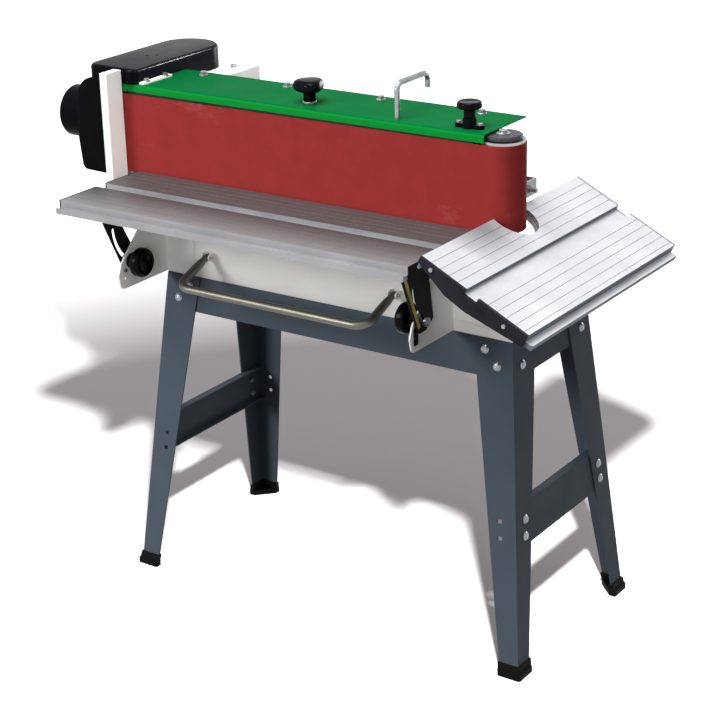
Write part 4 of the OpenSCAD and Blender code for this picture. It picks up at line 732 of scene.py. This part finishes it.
# Tension spring: a coil in the place of the part's spring
SPRING_WIRE = 2.6
SPRING_TURNS = 8
SPRING_STEPS = 24
SPRING_SIDES = 12
low, high = (Vector(v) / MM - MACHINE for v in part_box("tension_spring"))
spring_mid = (low + high) / 2
wire_r = SPRING_WIRE / 2
coil_r = (high.z - low.z - SPRING_WIRE) / 2
coil_run = high.x - low.x - SPRING_WIRE
advance = coil_run / (FULL_TURN * SPRING_TURNS)
rings = []
for i in range(SPRING_TURNS * SPRING_STEPS + 1):
    a = FULL_TURN * i / SPRING_STEPS
    out = Vector((0, math.cos(a), math.sin(a)))
    ahead = Vector((advance, -coil_r * math.sin(a), coil_r * math.cos(a))).normalized()
    run = coil_run * i / (SPRING_TURNS * SPRING_STEPS)
    at = Vector((low.x + wire_r + run, spring_mid.y, spring_mid.z))
    rings.append(circle(at + coil_r * out, wire_r, out, ahead.cross(out), SPRING_SIDES))
spring = finish_piece("spring_coil", skin(rings), steel, "machine", sharp=ROUNDED)
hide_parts("tension_spring")
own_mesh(spring)

# Camera
azimuth, elevation, roll = (math.radians(a) for a in (CAMERA_AZIMUTH, CAMERA_ELEVATION, CAMERA_ROLL))
level = math.cos(elevation)
back = Vector((math.sin(azimuth) * level, -math.cos(azimuth) * level, math.sin(elevation)))
right = Vector((math.cos(azimuth), math.sin(azimuth), 0))
up = back.cross(right)
camera_x = math.cos(roll) * right + math.sin(roll) * up
camera_y = math.cos(roll) * up - math.sin(roll) * right
camera_data = bpy.data.cameras.new("camera")
camera_data.lens = CAMERA_LENS
camera_data.sensor_width = CAMERA_SENSOR
camera = bpy.data.objects.new("camera", camera_data)
camera.matrix_world = Matrix.Translation(CAMERA_AT) @ Matrix((camera_x, camera_y, back)).transposed().to_4x4()
scene.collection.objects.link(camera)
scene.camera = camera

# Floor: white to the camera and in reflections, darker to the light that it throws back on the part. Near
# the part it shows the shadow, and further out (metres) it glows evenly
FLOOR_HALF = 40.0
FLOOR_CORNERS = [(x * FLOOR_HALF, y * FLOOR_HALF, 0) for x, y in ((-1, -1), (1, -1), (1, 1), (-1, 1))]
GLOW_FROM, GLOW_FULL = 1.2, 2.0
floor_mesh = bpy.data.meshes.new("floor")
floor_mesh.from_pydata(FLOOR_CORNERS, [], [(0, 1, 2, 3)])
floor = bpy.data.objects.new("floor", floor_mesh)
floor_look = Look("floor_white", FLOOR_WHITE, roughness=0.9, ior=1.0)
seen = floor_look.add("ShaderNodeLightPath").outputs["Is Camera Ray"]
floor_look.set("Base Color", floor_look.mix(seen, FLOOR_BOUNCE, FLOOR_WHITE))
far = floor_look.ramp(floor_look.away((0, 0, 0)), 0, 1, GLOW_FROM, GLOW_FULL)
floor_look.set("Emission Strength", floor_look.white_rays(far))
floor_look.shader.inputs["Emission Color"].default_value = WHITE
floor_mesh.materials.append(floor_look.material)
scene.collection.objects.link(floor)

# World: white behind the part, and for its light a sky that is dim at the horizon and bright overhead
SKY_LOW = 0.10
SKY_HIGH = 0.44
world = bpy.data.worlds.new("world")
scene.world = world
world.use_nodes = True
air = Tree(world.node_tree)
height = air.add("ShaderNodeSeparateXYZ")
strength = air.add("ShaderNodeMapRange", To_Min=SKY_LOW, To_Max=SKY_HIGH)
sky = air.tree.nodes["Background"]
sky.inputs["Color"].default_value = linear(SKY_TINT)
white = air.add("ShaderNodeBackground", Color=WHITE, Strength=1.0)
blend = air.add("ShaderNodeMixShader")
air.link(air.add("ShaderNodeTexCoord").outputs["Generated"], height.inputs["Vector"])
air.link(height.outputs["Z"], strength.inputs["Value"])
air.link(strength.outputs["Result"], sky.inputs["Strength"])
for out, into in zip((air.white_rays(), sky.outputs[0], white.outputs[0]), blend.inputs):
    air.link(out, into)
air.link(blend.outputs[0], air.tree.nodes["World Output"].inputs["Surface"])

# Lamps: one lights the floor alone, where it throws the part's shadow. The others light the part or some of
# it, and all point at its middle
MIDDLE = Vector((0, 0, 0.7))


def receivers(name, things, state="INCLUDE"):
    """What a lamp lights, or leaves out."""
    group = bpy.data.collections.new(name)
    for thing in things:
        group.objects.link(thing)
    for entry in group.collection_objects:
        entry.light_linking.link_state = state
    return group


def light(name, kind, at, energy, size, lit):
    """A lamp with its place and size in metres and its energy in watts."""
    data = bpy.data.lights.new(name, kind)
    data.energy = energy
    if kind == "AREA":
        data.shape = "DISK"
        data.size = size
    else:
        data.shadow_soft_size = size
    thing = bpy.data.objects.new(name, data)
    thing.location = at
    thing.rotation_euler = (MIDDLE - Vector(at)).to_track_quat("-Z", "Y").to_euler()
    thing.light_linking.receiver_collection = lit
    scene.collection.objects.link(thing)


floor_only = receivers("floor_only", [floor])
part_only = receivers("part_only", [floor], "EXCLUDE")
cream_only = receivers("cream_only", [nodes[name] for name in LOOKS[cream_paint]])
gloss_only = receivers("gloss_only", [pulley_shell, nodes["dust_hood"]])
light("shadow", "POINT", at=(1.76, -2.12, 2.9), energy=1600, size=0.1, lit=floor_only)
light("top", "AREA", at=(0.2, -0.9, 3.4), energy=100, size=2.2, lit=part_only)
light("front", "AREA", at=(-1.9, -3.2, 2.0), energy=82, size=1.6, lit=part_only)
light("fill", "AREA", at=(1.5, -3.1, 1.3), energy=30, size=1.5, lit=cream_only)
light("back", "AREA", at=(0.3, 3.3, 1.0), energy=52, size=1.6, lit=part_only)
light("rim", "AREA", at=(1.0, 2.3, 2.5), energy=260, size=0.3, lit=gloss_only)

scene.view_settings.view_transform = "Standard"
